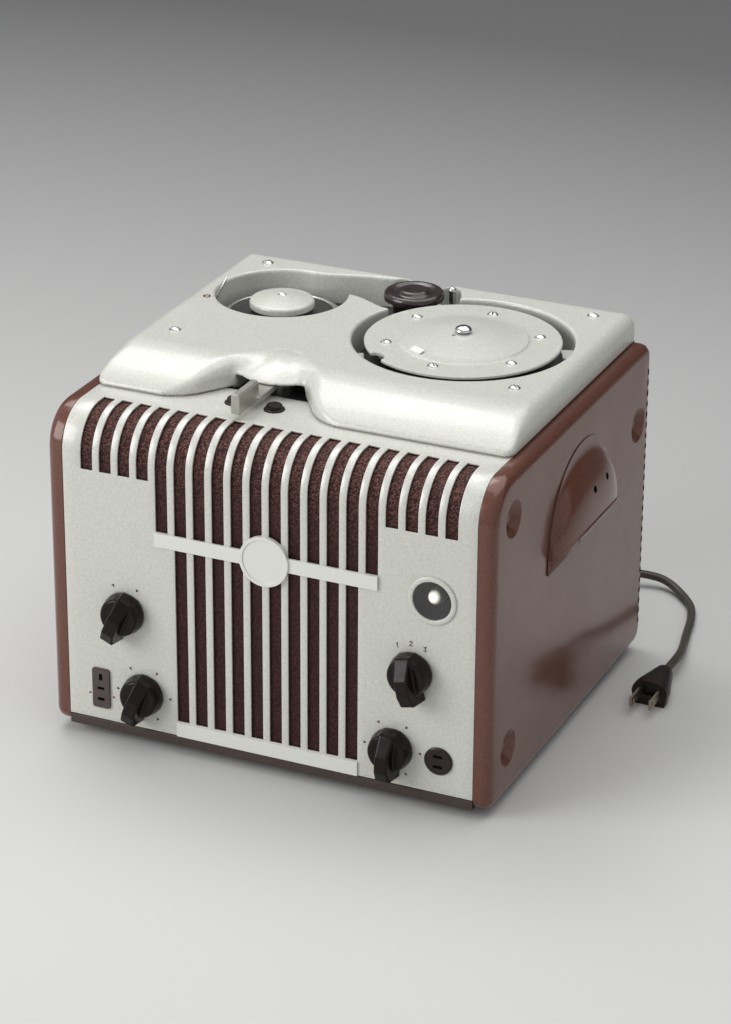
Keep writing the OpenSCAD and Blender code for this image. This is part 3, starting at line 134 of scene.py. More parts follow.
def grid_faces(rows, columns, close_rows=False, close_columns=False, first=0):
    """Quads of a grid of points, wrapping round where a direction closes."""
    i = np.arange(rows if close_rows else rows - 1)
    j = np.arange(columns if close_columns else columns - 1)
    i, j = (a.ravel() for a in np.meshgrid(i, j, indexing="ij"))
    i2, j2 = (i + 1) % rows, (j + 1) % columns
    return np.stack([i * columns + j, i * columns + j2, i2 * columns + j2,
                     i2 * columns + j], axis=1) + first


def tube_faces(rings, sides):
    """Quads between rings of points, with one face across each end."""
    faces = [list(f) for f in grid_faces(rings, sides, close_columns=True)]
    return faces + [list(range(sides))[::-1], list(range((rings - 1) * sides, rings * sides))]


def mesh_object(name, points, faces, smooth=True):
    """Puts arrays of points and faces into a new mesh object."""
    mesh = bpy.data.meshes.new(name)
    mesh.from_pydata(np.asarray(points, float).tolist(), [], [list(map(int, f)) for f in faces])
    mesh.polygons.foreach_set("use_smooth", np.full(len(mesh.polygons), smooth))
    mesh.update()
    made = bpy.data.objects.new(name, mesh)
    scene.collection.objects.link(made)
    return made


def new_piece(name, points, faces, body, finish=None, uv=None, smooth=True):
    """A mesh object that rides on a body, with its finish and its own UV map."""
    piece = mesh_object(name, points, faces, smooth)
    if uv is not None:
        corner_vertex = np.empty(len(piece.data.loops), np.int32)
        piece.data.loops.foreach_get("vertex_index", corner_vertex)
        layer = piece.data.uv_layers.new(name="UVMap")
        layer.data.foreach_set("uv", np.asarray(uv, np.float32)[corner_vertex].ravel())
    if finish is not None:
        piece.data.materials.append(finish.material)
    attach(piece, body)
    return piece


print("a grid of 3 by 4 points has", len(grid_faces(3, 4)), "quads")

# %% [markdown]
# The mains cord is a brown twin lead. It leaves the rear panel through a tapered gland, falls
# to the table, lies in a coil behind the case, where the case hides it, and comes out on the
# right to its plug. A Blender curve could draw it, but arrays also give its length and its path,
# which the frame asks for. The fall and the tail are listed points. The coil between them is a
# formula: its radius shrinks and grows again at a steady rate, and it climbs to a second layer in
# the half turn where the spiral reverses.

# %% Route of the cord
CORD_D = 5.5
GLAND_END = np.array([67.0, CASE_D + 24, 35.0])
COIL_X, COIL_Y = GLAND_END[0] - 43, CASE_D + 93
COIL_R, COIL_PITCH, COIL_TURNS, COIL_LAYER, COIL_STEPS = 43.0, 6.0, 6.75, 6.0, 24
cord_low = -FOOT_H + CORD_D / 2

# How far behind the gland each point of the fall lies, and its share of the gland's height
fall = np.array([
    (0, 1), (6, 1), (14, 0.963), (22, 0.864), (28.4, 0.712), (33, 0.503), (37.6, 0.294),
    (44, 0.137), (52, 0.038), (58, 0.0065), (63.5, 0)])
lead = np.stack([np.full(len(fall), GLAND_END[0]), GLAND_END[1] + fall[:, 0],
                 cord_low + (GLAND_END[2] - cord_low) * fall[:, 1]], axis=1)
# Places from the case's rear under the gland, heights over the cord's rest on the table
tail = np.array([GLAND_END[0], CASE_D, cord_low]) + np.array([
    (-37.5, 50, 6), (-31, 50, 5.95), (-19, 50, 5.85), (-7, 50, 5.75), (6, 52.4, 5.75),
    (17, 59.2, 5.75), (25, 69.5, 5.85), (33, 79.7, 6), (44, 86.5, 6), (57, 89, 5), (66, 88, 3.6),
    (76, 82, 1.8), (86.5, 71.5, 0.4), (93, 61.5, 0), (98.5, 45, 0), (101.5, 30.5, 0),
    (104.4, 17, 0.25), (108, 2, 1.8), (111, -12, 4.4), (112.6, -26, 6.4), (113, -38, 7.2),
    (113, -49, 7.2)])
turn = np.arange(0, COIL_TURNS + 1e-9, 1 / COIL_STEPS)
radius = COIL_R - COIL_PITCH * np.minimum(turn, COIL_TURNS - turn)
climb = np.clip(2 * (turn - COIL_TURNS / 2) + 0.5, 0, 1)
coil = np.stack([COIL_X + radius * np.cos(2 * np.pi * turn),
                 COIL_Y + radius * np.sin(2 * np.pi * turn),
                 cord_low + COIL_LAYER * climb ** 2 * (3 - 2 * climb)], axis=1)
route = np.concatenate([lead, coil, tail])
print("route:", len(route), "points,", COIL_TURNS, "turns in the coil")

# %% [markdown]
# A smooth curve through the route's points is the Catmull-Rom form: between two points it blends
# four neighbours with cubic weights. A closed profile carried along such a curve makes a tube.
# The profile is kept upright, so a flat lead lies flat on the table.

# %% A profile carried along a path


def smooth_through(points, steps):
    """Catmull-Rom curve: each stretch blends four neighbouring points with cubic weights."""
    p = np.concatenate([[2 * points[0] - points[1]], points, [2 * points[-1] - points[-2]]])
    t = (np.arange(steps) / steps)[None, :, None]
    a, b, c, d = (p[k:len(p) - 3 + k][:, None, :] for k in range(4))
    curve = 0.5 * (2 * b + (c - a) * t + (2 * a - 5 * b + 4 * c - d) * t ** 2
                   + (3 * b - a - 3 * c + d) * t ** 3)
    return np.concatenate([curve.reshape(-1, 3), points[-1:]])


def carried(path, profile):
    """Rings of a closed profile of (side, up) offsets, one per path point, kept upright."""
    ahead = np.gradient(path, axis=0)
    ahead /= np.linalg.norm(ahead, axis=1, keepdims=True)
    side = np.cross(ahead, (0, 0, 1.0))
    side /= np.linalg.norm(side, axis=1, keepdims=True)
    over = np.cross(side, ahead)
    offsets = np.asarray(profile, float)[None]
    return path[:, None] + side[:, None] * offsets[..., :1] + over[:, None] * offsets[..., 1:]


cord_path = smooth_through(route, 3)
run = np.concatenate([[0], np.cumsum(np.linalg.norm(np.diff(cord_path, axis=0), axis=1))])

# %% [markdown]
# A twin lead is two cores side by side in one skin. Its section is a circle with a groove pressed
# into it above and below, and the groove is a bell curve of the place across the lead.

# %% The cord as one tube
CORD_SIDES, GROOVE_DEPTH, GROOVE_W = 24, 0.2, 0.22


def ring_angles(count, way=1):
    """Angles once round a circle, either way."""
    return np.linspace(0, way * 2 * np.pi, count, endpoint=False)


a = ring_angles(CORD_SIDES, -1)
pinch = 1 - GROOVE_DEPTH * np.exp(-(np.cos(a) / GROOVE_W) ** 2)
twin_lead = CORD_D / 2 * np.stack([np.cos(a), np.sin(a) * pinch], axis=1)
rings = carried(cord_path, twin_lead)
cord_uv = np.stack(np.broadcast_arrays(run[:, None], np.linspace(0, 1, CORD_SIDES)[None]), axis=2)
cord = new_piece("mains_cord", at_mm(rings.reshape(-1, 3)), tube_faces(len(rings), CORD_SIDES),
                 "case", uv=cord_uv.reshape(-1, 2))
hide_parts("cord_lead", "cord_coil", "cord_tail")
print("cord:", len(rings), "rings of", CORD_SIDES)

# %% [markdown]
# Shader maths could be drawn as a tree of nodes, but it reads best as plain expressions. So a small
# class wraps a socket and overloads the operators: writing `1 - mask` adds a Math node.

# %% Shader maths as expressions


def feed(tree, socket, value):
    """Links a wrapped value to a socket, or writes a plain one into it."""
    if isinstance(value, Wire):
        tree.links.new(value.socket, socket)
    elif socket.type == "RGBA" and len(value) == 3:
        socket.default_value = (*value, 1.0)
    else:
        socket.default_value = value


class Wire:
    """A value on its way through a finish's nodes."""

    def __init__(self, tree, socket):
        self.tree, self.socket = tree, socket

    def maths(self, operation, *others):
        """Adds a Math node that does one operation on the values."""
        node = self.tree.nodes.new("ShaderNodeMath")
        node.operation = operation
        for socket, value in zip(node.inputs, others):
            feed(self.tree, socket, value)
        return Wire(self.tree, node.outputs[0])

    def __add__(self, other):
        return self.maths("ADD", self, other)

    def __sub__(self, other):
        return self.maths("SUBTRACT", self, other)

    def __rsub__(self, other):
        return self.maths("SUBTRACT", other, self)

    def __mul__(self, other):
        return self.maths("MULTIPLY", self, other)

    __radd__, __rmul__ = __add__, __mul__


print("reflected forms:", [name for name in vars(Wire) if name.startswith("__r")])

# %% [markdown]
# One finish is a Principled shader with the nodes that feed it. Real paint, metal and bakelite are
# never even, so a finish can lay noise on the surface, stretch part of its range, mix two colours
# by it, and press it into the surface as relief. A node of any kind comes from one method.

# %% One finish
MIX_FIRST, MIX_SECOND, MIX_RESULT = 6, 7, 2   # the colour sockets of a Mix node


class Finish:
    """One finish: a Principled shader and the nodes that feed it."""

    def __init__(self, name, **sockets):
        self.material = bpy.data.materials.new(name)
        self.material.use_nodes = True
        self.tree = self.material.node_tree
        self.shader = self.tree.nodes["Principled BSDF"]
        self.set(**sockets)

    def set(self, **sockets):
        """Writes or links the shader's sockets, named with _ for a space."""
        for name, value in sockets.items():
            feed(self.tree, self.shader.inputs[name.replace("_", " ")], value)
        return self

    def add(self, kind, settings=None, sockets=None, out=0):
        """Adds any other node: its settings first, then its sockets."""
        node = self.tree.nodes.new("ShaderNode" + kind)
        for name, value in (settings or {}).items():
            setattr(node, name, value)
        for name, value in (sockets or {}).items():
            feed(self.tree, node.inputs[name], value)
        return Wire(self.tree, node.outputs[out])

    def place(self, stretch=(1, 1, 1), kind="Object"):
        """The surface's own coordinates, of the object or its UV map, stretched along each axis."""
        start = self.add("TexCoord", out=kind)
        return self.add("Mapping", sockets={"Vector": start, "Scale": stretch})

    def noise(self, scale, detail, rough=0.5):
        """Cloudy noise with so many cells to the metre."""
        return self.add("TexNoise", sockets={
            "Vector": self.place(), "Scale": scale, "Detail": detail, "Roughness": rough})

    def span(self, value, low, high, to_low=0.0, to_high=1.0):
        """Stretches part of a value's range, clipped at both ends."""
        return self.add("MapRange", {"clamp": True}, {
            "Value": value, "From Min": low, "From Max": high, "To Min": to_low,
            "To Max": to_high})

    def mix(self, share, first, second, blend="MIX"):
        """Between two colours, or the second laid on the first by another blend."""
        return self.add("Mix", {"data_type": "RGBA", "blend_type": blend}, {
            "Factor": share, MIX_FIRST: first, MIX_SECOND: second}, out=MIX_RESULT)

    def glint(self, colour, amount):
        """Adds the same amount to red, green and blue."""
        grey = self.add("CombineColor", sockets={"Red": amount, "Green": amount, "Blue": amount})
        return self.mix(1.0, colour, grey, "ADD")

    def bump(self, height, depth_mm, strength):
        """Relief as deep as given, in millimetres."""
        normal = self.add("Bump", sockets={
            "Height": height, "Distance": depth_mm / 1000, "Strength": strength})
        return self.set(Normal=normal)


print("a finish can:", [name for name in vars(Finish) if not name.startswith("_")])

# %% [markdown]
# The front and the deck wear a pale silver enamel with flecks in it, the sides a brown enamel
# with copper in it and a glossy coat. The flecks are noise of two sizes in the colour, kept
# weak so that they don't turn to grain, and a slow noise lets the gloss vary as old paint does.

# %% Enamels
COARSE_FLECKS, FINE_FLECKS, GLOSS_DRIFT, ORANGE_PEEL = 620, 2400, 30, 700


def enamel(name, colour, metallic, rough, fleck, coat, coat_rough):
    """Metal paint: colour with coarse and fine flecks, uneven gloss, a slight orange peel."""
    f = Finish(name, Metallic=metallic, Coat_Weight=coat, Coat_Roughness=coat_rough)
    coarse = f.span(f.noise(COARSE_FLECKS, 2), 0.3, 0.75, -fleck, fleck)
    fine = f.span(f.noise(FINE_FLECKS, 1), 0.35, 0.75, -fleck, fleck)
    gloss = f.span(f.noise(GLOSS_DRIFT, 4), 0.3, 0.8, rough - 0.05, rough + 0.08)
    f.set(Base_Color=f.glint(colour, coarse + fine), Roughness=gloss)
    return f.bump(f.noise(ORANGE_PEEL, 2), 0.02, 0.4)


silver = enamel("silver_enamel", (0.59, 0.59, 0.54), metallic=0.05, rough=0.36, fleck=0.05,
                coat=0.4, coat_rough=0.12)
brown = enamel("brown_enamel", (0.13, 0.05, 0.034), metallic=0.2, rough=0.38, fleck=0.01,
               coat=0.85, coat_rough=0.13)
brown.set(Specular_IOR_Level=0.1)
base_brown = enamel("base_enamel", (0.05, 0.031, 0.025), metallic=0.2, rough=0.42, fleck=0.006,
                    coat=0.4, coat_rough=0.12)
ivory = enamel("trim_enamel", (0.7, 0.7, 0.655), metallic=0.0, rough=0.38, fleck=0.01,
               coat=0.2, coat_rough=0.15)
pewter = enamel("lever_enamel", (0.42, 0.41, 0.36), metallic=0.5, rough=0.36, fleck=0.03,
                coat=0.3, coat_rough=0.15)
print("enamels:", [f.material.name for f in (silver, brown, base_brown, ivory, pewter)])

# %% [markdown]
# Bare metal is never even: a streaky noise dulls its colour and its polish together, as tarnish
# does. The polish itself runs from the chromed nut to the plain steel of the inner parts.

# %% Metals
TARNISH_STREAKS, TARNISHED = 60, 0.72


def metal(name, colour, rough):
    """Bare metal with a faint streaky tarnish."""
    f = Finish(name, Metallic=1.0)
    streaks = f.noise(TARNISH_STREAKS, 4, 0.6)
    dull = [TARNISHED * c for c in colour]
    f.set(Base_Color=f.mix(f.span(streaks, 0.35, 0.75), colour, dull),
          Roughness=f.span(streaks, 0.3, 0.75, rough, rough + 0.16))
    return f


steel = metal("bare_steel", (0.5, 0.5, 0.48), 0.34)
bright_steel = metal("bright_steel", (0.68, 0.68, 0.66), 0.2)
chrome = metal("polished_chrome", (0.85, 0.85, 0.86), 0.05)
brass = metal("aged_brass", (0.52, 0.37, 0.16), 0.3)
dull_brass = metal("dull_brass", (0.4, 0.34, 0.26), 0.36)
print("metals:", [f.material.name for f in (steel, bright_steel, chrome, brass, dull_brass)])

# %% [markdown]
# Bakelite, rubber, paper and flock share one recipe. Even a moulded knob is never one flat colour:
# a swirl runs through its mass, its gloss is worn in places, and its skin has fine pits.

# %% Mouldings
SWIRLS, WORN_SPOTS, PITS = 55, 160, 900


def moulding(name, colour, swirl, rough, coat=0.0, shine=0.5):
    """Plastic or rubber with a swirl in its mass and a little wear in its gloss."""
    f = Finish(name, Coat_Weight=coat, Coat_Roughness=0.15, Specular_IOR_Level=shine)
    marble = f.span(f.noise(SWIRLS, 5, 0.6), 0.4, 0.75)
    f.set(Base_Color=f.mix(marble, colour, swirl),
          Roughness=f.span(f.noise(WORN_SPOTS, 4), 0.3, 0.75, rough, rough + 0.2))
    return f.bump(f.noise(PITS, 2), 0.02, 0.4)


bakelite = moulding("dark_bakelite", (0.007, 0.0036, 0.003), (0.012, 0.006, 0.0045), 0.14,
                    shine=0.2)
plug_brown = moulding("plug_bakelite", (0.011, 0.005, 0.0035), (0.018, 0.008, 0.005), 0.34,
                      coat=0.15, shine=0.3)
socket_brown = moulding("socket_bakelite", (0.06, 0.043, 0.04), (0.075, 0.053, 0.048), 0.5)
cap_bakelite = moulding("cap_bakelite", (0.022, 0.012, 0.013), (0.032, 0.018, 0.019), 0.2, coat=0.5)
rubber = moulding("old_rubber", (0.022, 0.019, 0.018), (0.035, 0.03, 0.027), 0.6)
brown_rubber = moulding("brown_rubber", (0.012, 0.006, 0.006), (0.02, 0.01, 0.009), 0.3, shine=0.25)
flock = moulding("dark_flock", (0.03, 0.03, 0.03), (0.05, 0.05, 0.05), 0.75)
paper = moulding("cone_paper", (0.04, 0.036, 0.032), (0.055, 0.05, 0.045), 0.85)
lacquer = moulding("black_lacquer", (0.018, 0.018, 0.018), (0.03, 0.03, 0.03), 0.35)
fibre = moulding("brown_fibre", (0.16, 0.09, 0.04), (0.2, 0.12, 0.06), 0.6)
cord_skin = moulding("cord_skin", (0.036, 0.028, 0.02), (0.052, 0.042, 0.03), 0.42, coat=0.1)
# Painted shade: black for slots and holes, where only the shade inside them shows
hole_shade = moulding("painted_hole_shade", (0.004, 0.004, 0.004), (0.006, 0.006, 0.006), 0.8, shine=0.0)
ink = moulding("maroon_ink", (0.1, 0.03, 0.026), (0.13, 0.04, 0.034), 0.5)
red_ink = moulding("red_ink", (0.32, 0.05, 0.035), (0.36, 0.07, 0.05), 0.5)
cord.data.materials.append(cord_skin.material)
print("finishes so far:", len(bpy.data.materials))

# %% [markdown]
# The pilot lamp sits behind clear glass. Its bulb is dark but for a painted glint, a spot of
# emission that stands in for the light reflected off the bulb: it falls off with the distance from
# one point, so it needs no shape of its own.

# %% Clear glass and the bulb's painted glint
GLINT_MIDDLE = (107.0, 3.0, 134.0)
GLINT_CORE, GLINT_EDGE = 0.0015, 0.0042

glass = Finish("clear_glass", Base_Color=(0.95, 0.96, 0.95), Roughness=0.03,
               Transmission_Weight=1.0, IOR=1.45)
# Painted highlight: emission round one point in the bulb, for the glint of light on it
bulb_glint = Finish("painted_bulb_glint", Base_Color=(0.16, 0.15, 0.13), Roughness=0.15, Emission_Strength=1.6)
away = bulb_glint.add("VectorMath", {"operation": "DISTANCE"}, {
    0: bulb_glint.place(), 1: tuple(at_mm(GLINT_MIDDLE))}, out="Value")
near = 1 - bulb_glint.span(away, GLINT_CORE, GLINT_EDGE)
bulb_glint.set(Emission_Color=bulb_glint.mix(near, (0, 0, 0), (1.0, 0.93, 0.8)))
print("glow reaches", 1000 * GLINT_EDGE, "mm from the filament")

# %% [markdown]
# Most solids have their right shape already. They come as loose triangles, so a weld joins
# them, a small bevel breaks each edge as a press or a file would, and weighted normals keep
# flat faces flat beside their rounded edges.

# %% Dress the solids
WELD_GAP, SHARP = 1e-5, math.radians(32)


def dress(finish, bevel_mm, *names):
    """Gives solids a finish, joined faces and broken edges."""
    for name in names:
        solid = nodes[name]
        solid.data.materials.clear()
        solid.data.materials.append(finish.material)
        solid.data.polygons.foreach_set("use_smooth", np.ones(len(solid.data.polygons), bool))
        weld = solid.modifiers.new("weld", "WELD")
        weld.merge_threshold = WELD_GAP
        if bevel_mm:
            edge = solid.modifiers.new("edge", "BEVEL")
            edge.width, edge.segments = bevel_mm / 1000, 2
            edge.limit_method, edge.angle_limit = "ANGLE", SHARP
        even = solid.modifiers.new("even", "WEIGHTED_NORMAL")
        even.keep_sharp = True


dress(silver, 0.3, "takeup_disc", "supply_hub_cap")
dress(ivory, 0.25, "trim_strips")
dress(pewter, 0.9, "control_lever")
dress(brown, 0.3, "side_panel_left", "side_panel_right", "rear_panel", "case_screws")
dress(base_brown, 0.3, "base_pan")
dress(steel, 0.2, "corner_posts", "supply_shaft", "takeup_shaft",
      "lever_pivot", "selector_switch", "volume_control", "output_switch", "tone_control",
      "speaker_frame", "amplifier_chassis", "motor_pulley")
dress(bright_steel, 0.1, "guide_post")
dress(chrome, 0, "takeup_nut")
dress(brass, 0.2, "supply_bearing", "takeup_bearing", "head_guide")
dress(dull_brass, 0.2, "plug_blades")
dress(bakelite, 0.3, "head_block")
dress(socket_brown, 0.3, "input_socket")
dress(plug_brown, 0.5, "plug_body", "output_socket")
dress(rubber, 0.4, "feet", "idler_wheel", "cord_gland")
dress(brown_rubber, 0.2, "lever_bumpers")
dress(flock, 0.3, "supply_turntable")
dress(paper, 0, "speaker_cone")
# The deck plate's black is in part painted shade: it darkens the gaps round the turntables and under
# the lever's boss
dress(lacquer, 0.4, "motor", "power_transformer", "takeup_drum", "deck_plate")
dress(fibre, 0.3, "level_cam")
dress(glass, 0, "lamp_lens", "tubes")
# The bulb carries the painted glint
dress(bulb_glint, 0, "lamp_bulb")
print("dressed:", sum(bool(o.modifiers) for o in nodes.values()), "of", len(nodes))

# %% [markdown]
# The deck cover is a die casting: every edge is soft and the lever's boss flows into the top.
# Bevels on a cut-up mesh would pinch where such edges run into one another. The form is easier to
# say as a distance, a field that is negative inside the metal. A rounded "and" of two fields
# leaves a fillet of a chosen radius where they meet, and a soft "or" leaves a valley. Outlines in
# plan are fields too, of a circle or of a polygon.

# %% Fields and how they join


def both(a, b, r):
    """Inside both fields, with an edge of radius r where they meet."""
    return np.minimum(np.maximum(a, b), -r) + np.hypot(np.maximum(a + r, 0), np.maximum(b + r, 0))


def either(a, b, k):
    """Inside one or the other, with a soft valley about k wide where they meet."""
    h = np.clip(0.5 + 0.5 * (b - a) / k, 0, 1)
    return b + (a - b) * h - k * h * (1 - h)


def round_at(x, y, place, r):
    """Distance in plan to a circle, negative inside."""
    return np.hypot(x - place[0], y - place[1]) - r


def polygon_field(x, y, corners):
    """Distance in plan to a polygon, negative inside."""
    p = np.asarray(corners, float)
    best = np.full(x.shape, np.inf)
    winding = np.zeros(x.shape, bool)
    for (ax, ay), (bx, by) in zip(p, np.roll(p, -1, axis=0)):
        ex, ey = bx - ax, by - ay
        t = np.clip(((x - ax) * ex + (y - ay) * ey) / (ex * ex + ey * ey), 0, 1)
        best = np.minimum(best, np.hypot(x - ax - t * ex, y - ay - t * ey))
        crosses = (ay > y) != (by > y)
        winding ^= crosses & (x < ax + (y - ay) * ex / (ey if ey else 1e-9))
    return np.where(winding, -best, best)


print("middle of a 10 mm disc:", round_at(0.0, 0.0, (0, 0), 5), "mm from its edge")

# %% [markdown]
# A field's surface is found by surface nets: one vertex in each grid cell that the surface
# crosses, drawn onto the surface along the field's slope, and one quad across each grid edge
# that it cuts. The quad runs one way or the other, so that it faces out of the metal.

# %% Surface nets


def net(field, low, high, step, passes=4, probe=0.1, reach=0.6, flattest=0.05):
    """Surface nets of a field over a box: points and quads, faces outward.

    Each pass moves a point by its field value over its slope, at most reach cells."""
    grid = [np.arange(a, b + step, step) for a, b in zip(low, high)]
    inside = field(*np.meshgrid(*grid, indexing="ij")) < 0
    n = np.array(inside.shape) - 1
    count = np.zeros(n, int)
    for i, j, k in np.ndindex(2, 2, 2):
        count += inside[i:n[0] + i, j:n[1] + j, k:n[2] + k]
    crossed = (count > 0) & (count < 8)
    index = np.full(n, -1)
    index[crossed] = np.arange(crossed.sum())
    points = np.stack([a[c] for a, c in zip(grid, np.nonzero(crossed))], axis=1) + step / 2
    for _ in range(passes):
        value = field(*points.T)
        slope = np.stack([(field(*(points + d).T) - field(*(points - d).T)) / (2 * probe)
                          for d in probe * np.eye(3)], axis=1)
        move = -value[:, None] * slope / np.maximum((slope ** 2).sum(1), flattest)[:, None]
        points += np.clip(move, -reach * step, reach * step)
    quads = []
    for a in range(3):
        b, c = (a + 1) % 3, (a + 2) % 3
        first, second = np.moveaxis(inside, a, 0)[:-1], np.moveaxis(inside, a, 0)[1:]
        cut = np.stack(np.nonzero(np.moveaxis(first != second, 0, a)), axis=1)
        cut = cut[(cut[:, b] > 0) & (cut[:, c] > 0) & (cut[:, b] < n[b]) & (cut[:, c] < n[c])]
        step_b, step_c = np.eye(3, dtype=int)[b], np.eye(3, dtype=int)[c]
        ring = np.stack([index[tuple(q.T)] for q in (
            cut - step_b - step_c, cut - step_c, cut, cut - step_b)], axis=1)
        out = inside[tuple(cut.T)]
        quads.append(np.where(out[:, None], ring, ring[:, ::-1]))
    return points, np.concatenate(quads)


trial_points, trial_quads = net(
    lambda x, y, z: np.hypot(np.hypot(x, y), z) - 3, (-4, -4, -4), (4, 4, 4), 1)
print("a ball of 3 mm:", len(trial_quads), "quads, farthest point at",
      round(float(np.linalg.norm(trial_points, axis=1).max()), 3))

# %% [markdown]
# The cover's own measures: a flat top, a long arc down to the front lip, round sides, two
# wells, the head's pocket with the channel that joins them, and the lever's fan with its boss.
# The arc meets the flat without a kink, so its radius follows from its drop and its reach.

# %% Measures of the deck cover
SUPPLY, TAKEUP, HEAD, LEVER = (
    axes[name][:2] for name in ("supply_spin", "takeup_spin", "head_lift", "lever_swing"))
COVER_HALF = mm(deck_high.x)
COVER_FRONT, COVER_REAR = mm(deck_low.y - panel_low.y), mm(deck_high.y - panel_low.y)
COVER_FLAT, LIP_H, SLOT_ROOF, COVER_SEAT = 90.0, 2.5, LEDGE + 8.5, LEDGE + 1.2
SUPPLY_WELL_R, TAKEUP_WELL_R, POCKET_R, WELL_EDGE = 42.3, 68.8, 30.0, 1.6
FRONT_CORNER, REAR_CORNER, FAN_CORNER, WALL = 7.0, 8.0, 13.0, 2.4
BOSS_R, BOSS_FALL, BOSS_POWER, BOSS_SLOPE, BOSS_EDGE = 30.0, 9.0, 2.2, 0.85, 0.8
LEVER_SLOT_HALF, LEVER_SLOT_BACK, LEVER_SLOT_EDGE, POCKET_VALLEY = 23.0, 131.0, 0.6, 7.0
# What grows along the cover: its first size, its growth, where that starts and over how far
LIP_EDGE, EDGE_GROWTH, EDGE_FROM, EDGE_RUN = 2.0, 7.0, 48.0, 26.0
VALLEY, VALLEY_GROWTH, VALLEY_FROM, VALLEY_RUN = 0.1, 8.0, 104.0, 18.0
drop, reach = COVER_TOP - LEDGE - LIP_H, COVER_FLAT - COVER_FRONT
ARC_R = (drop ** 2 + reach ** 2) / (2 * drop)

# The channel's rear wall swings out by half a cosine from the supply well to the head's pocket
CHANNEL_OUT, CHANNEL_SWING, CHANNEL_STOP = 42.1, 10.5, 26.0
t = np.linspace(0, 1, 11)
channel = np.concatenate([
    np.stack([SUPPLY[0] + (HEAD[0] - CHANNEL_STOP - SUPPLY[0]) * t,
              SUPPLY[1] + CHANNEL_OUT + CHANNEL_SWING * (1 - np.cos(np.pi * t)) / 2], axis=1),
    [HEAD, (-26.0, 207.5), (-40.0, 210.0), SUPPLY]])

# Half widths of the lever's fan, from its back end to past the cover's front edge
FAN = ((4, 98), (23, 80), (46.5, 46), (62, 20))
fan = [(LEVER[0] - half, y) for half, y in FAN] + [(LEVER[0] + half, y) for half, y in FAN[::-1]]
print("cover's front arc:", round(ARC_R, 1), "mm in radius")

# %% [markdown]
# The cover is those fields joined in order: the block under the flat and the arc, the boss blended
# onto it, then the lever's slot, the room under the skirt and the wells taken out. The top edge's
# radius grows from the thin front lip to the thick sides.

# %% Deck cover


def cover_field(x, y, z):
    """Flat top, front arc and round sides; boss blended in; slot and wells taken out."""
    arc = np.hypot(COVER_FLAT - y, z - COVER_TOP + ARC_R) - ARC_R
    top = np.where(y < COVER_FLAT, arc, z - COVER_TOP)
    plan = both(np.abs(x) - COVER_HALF, COVER_FRONT - y, FRONT_CORNER)
    plan = both(both(plan, y - COVER_REAR, REAR_CORNER), -polygon_field(x, y, fan), FAN_CORNER)
    top_edge = LIP_EDGE + EDGE_GROWTH * np.clip((y - EDGE_FROM) / EDGE_RUN, 0, 1)
    shell = both(top, plan, top_edge)
    out = round_at(x, y, LEVER, 0)
    dome = z - COVER_TOP + BOSS_FALL * (out / BOSS_R) ** BOSS_POWER
    boss = both(np.maximum(BOSS_SLOPE * dome, SLOT_ROOF - z), out - BOSS_R, BOSS_EDGE)
    valley = VALLEY + VALLEY_GROWTH * np.clip((VALLEY_FROM - y) / VALLEY_RUN, 0, 1)
    shell = either(shell, boss, valley)
    slot_plan = np.maximum(np.abs(x - LEVER[0]) - LEVER_SLOT_HALF, y - LEVER_SLOT_BACK)
    shell = both(shell, -np.maximum(slot_plan, z - SLOT_ROOF), LEVER_SLOT_EDGE)
    shell = np.where(plan < -WALL, shell, np.maximum(shell, COVER_SEAT - z))
    wells = np.minimum(round_at(x, y, SUPPLY, SUPPLY_WELL_R), round_at(x, y, TAKEUP, TAKEUP_WELL_R))
    path = either(polygon_field(x, y, channel), round_at(x, y, HEAD, POCKET_R), POCKET_VALLEY)
    return both(shell, -np.minimum(wells, path), WELL_EDGE)


cover_points, cover_quads = net(cover_field, (-138, 44, 206.4), (138, 260, 229), 1.0)
cover = new_piece("deck_casting", at_mm(cover_points), cover_quads, "case", silver)
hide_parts("deck_cover")
print("deck cover:", len(cover_quads), "quads")

# %% [markdown]
# The front panel is one steel sheet. Slots cut through the finished bend would leave ragged
# faces. Unrolled the sheet is a plain rectangle with slots, so it is made unrolled, and the
# distance along it is then wrapped up the front, round the bend and over the ledge. The slots come
# in three lengths: short at the sides, one to the bar's top, and long in the middle.

# %% Measures of the front panel
SHEET, BEND_R, LEDGE_BACK = 1.2, 26.0, 76.0
PANEL_LOW, PANEL_HALF = mm(panel_low.z - side_low.z), mm(panel_high.x)
SLOT_PITCH, SLOT_W, SLOT_BACK, SLOTS, SHORT_SLOTS = 12.5, 8.0, 32.4, 20, 4
SHORT_DROP, BAR_TOP, LONG_LOW = 35.0, 142.0, 17.0
slot_x = (np.arange(SLOTS) - (SLOTS - 1) / 2) * SLOT_PITCH
from_side = np.minimum(np.arange(SLOTS), SLOTS - 1 - np.arange(SLOTS))
slot_low = np.where(from_side < SHORT_SLOTS, LEDGE - SHORT_DROP,
                    np.where(from_side == SHORT_SLOTS, BAR_TOP, LONG_LOW))
bend_from = LEDGE - BEND_R
bend_run = BEND_R * np.pi / 2
slot_end = bend_from + bend_run + SLOT_BACK - BEND_R
sheet_end = bend_from + bend_run + LEDGE_BACK - BEND_R


def wrap(x, run, lift=0.0):
    """Point at a distance along the sheet, lifted off its outer face; z is the run up front."""
    turn = np.clip((run - bend_from) / BEND_R, 0, np.pi / 2)
    over = np.maximum(run - bend_from - bend_run, 0)
    y = BEND_R - (BEND_R + lift) * np.cos(turn) + over
    z = np.minimum(run, bend_from) + (BEND_R + lift) * np.sin(turn)
    return np.stack(np.broadcast_arrays(x, y, z), axis=-1)


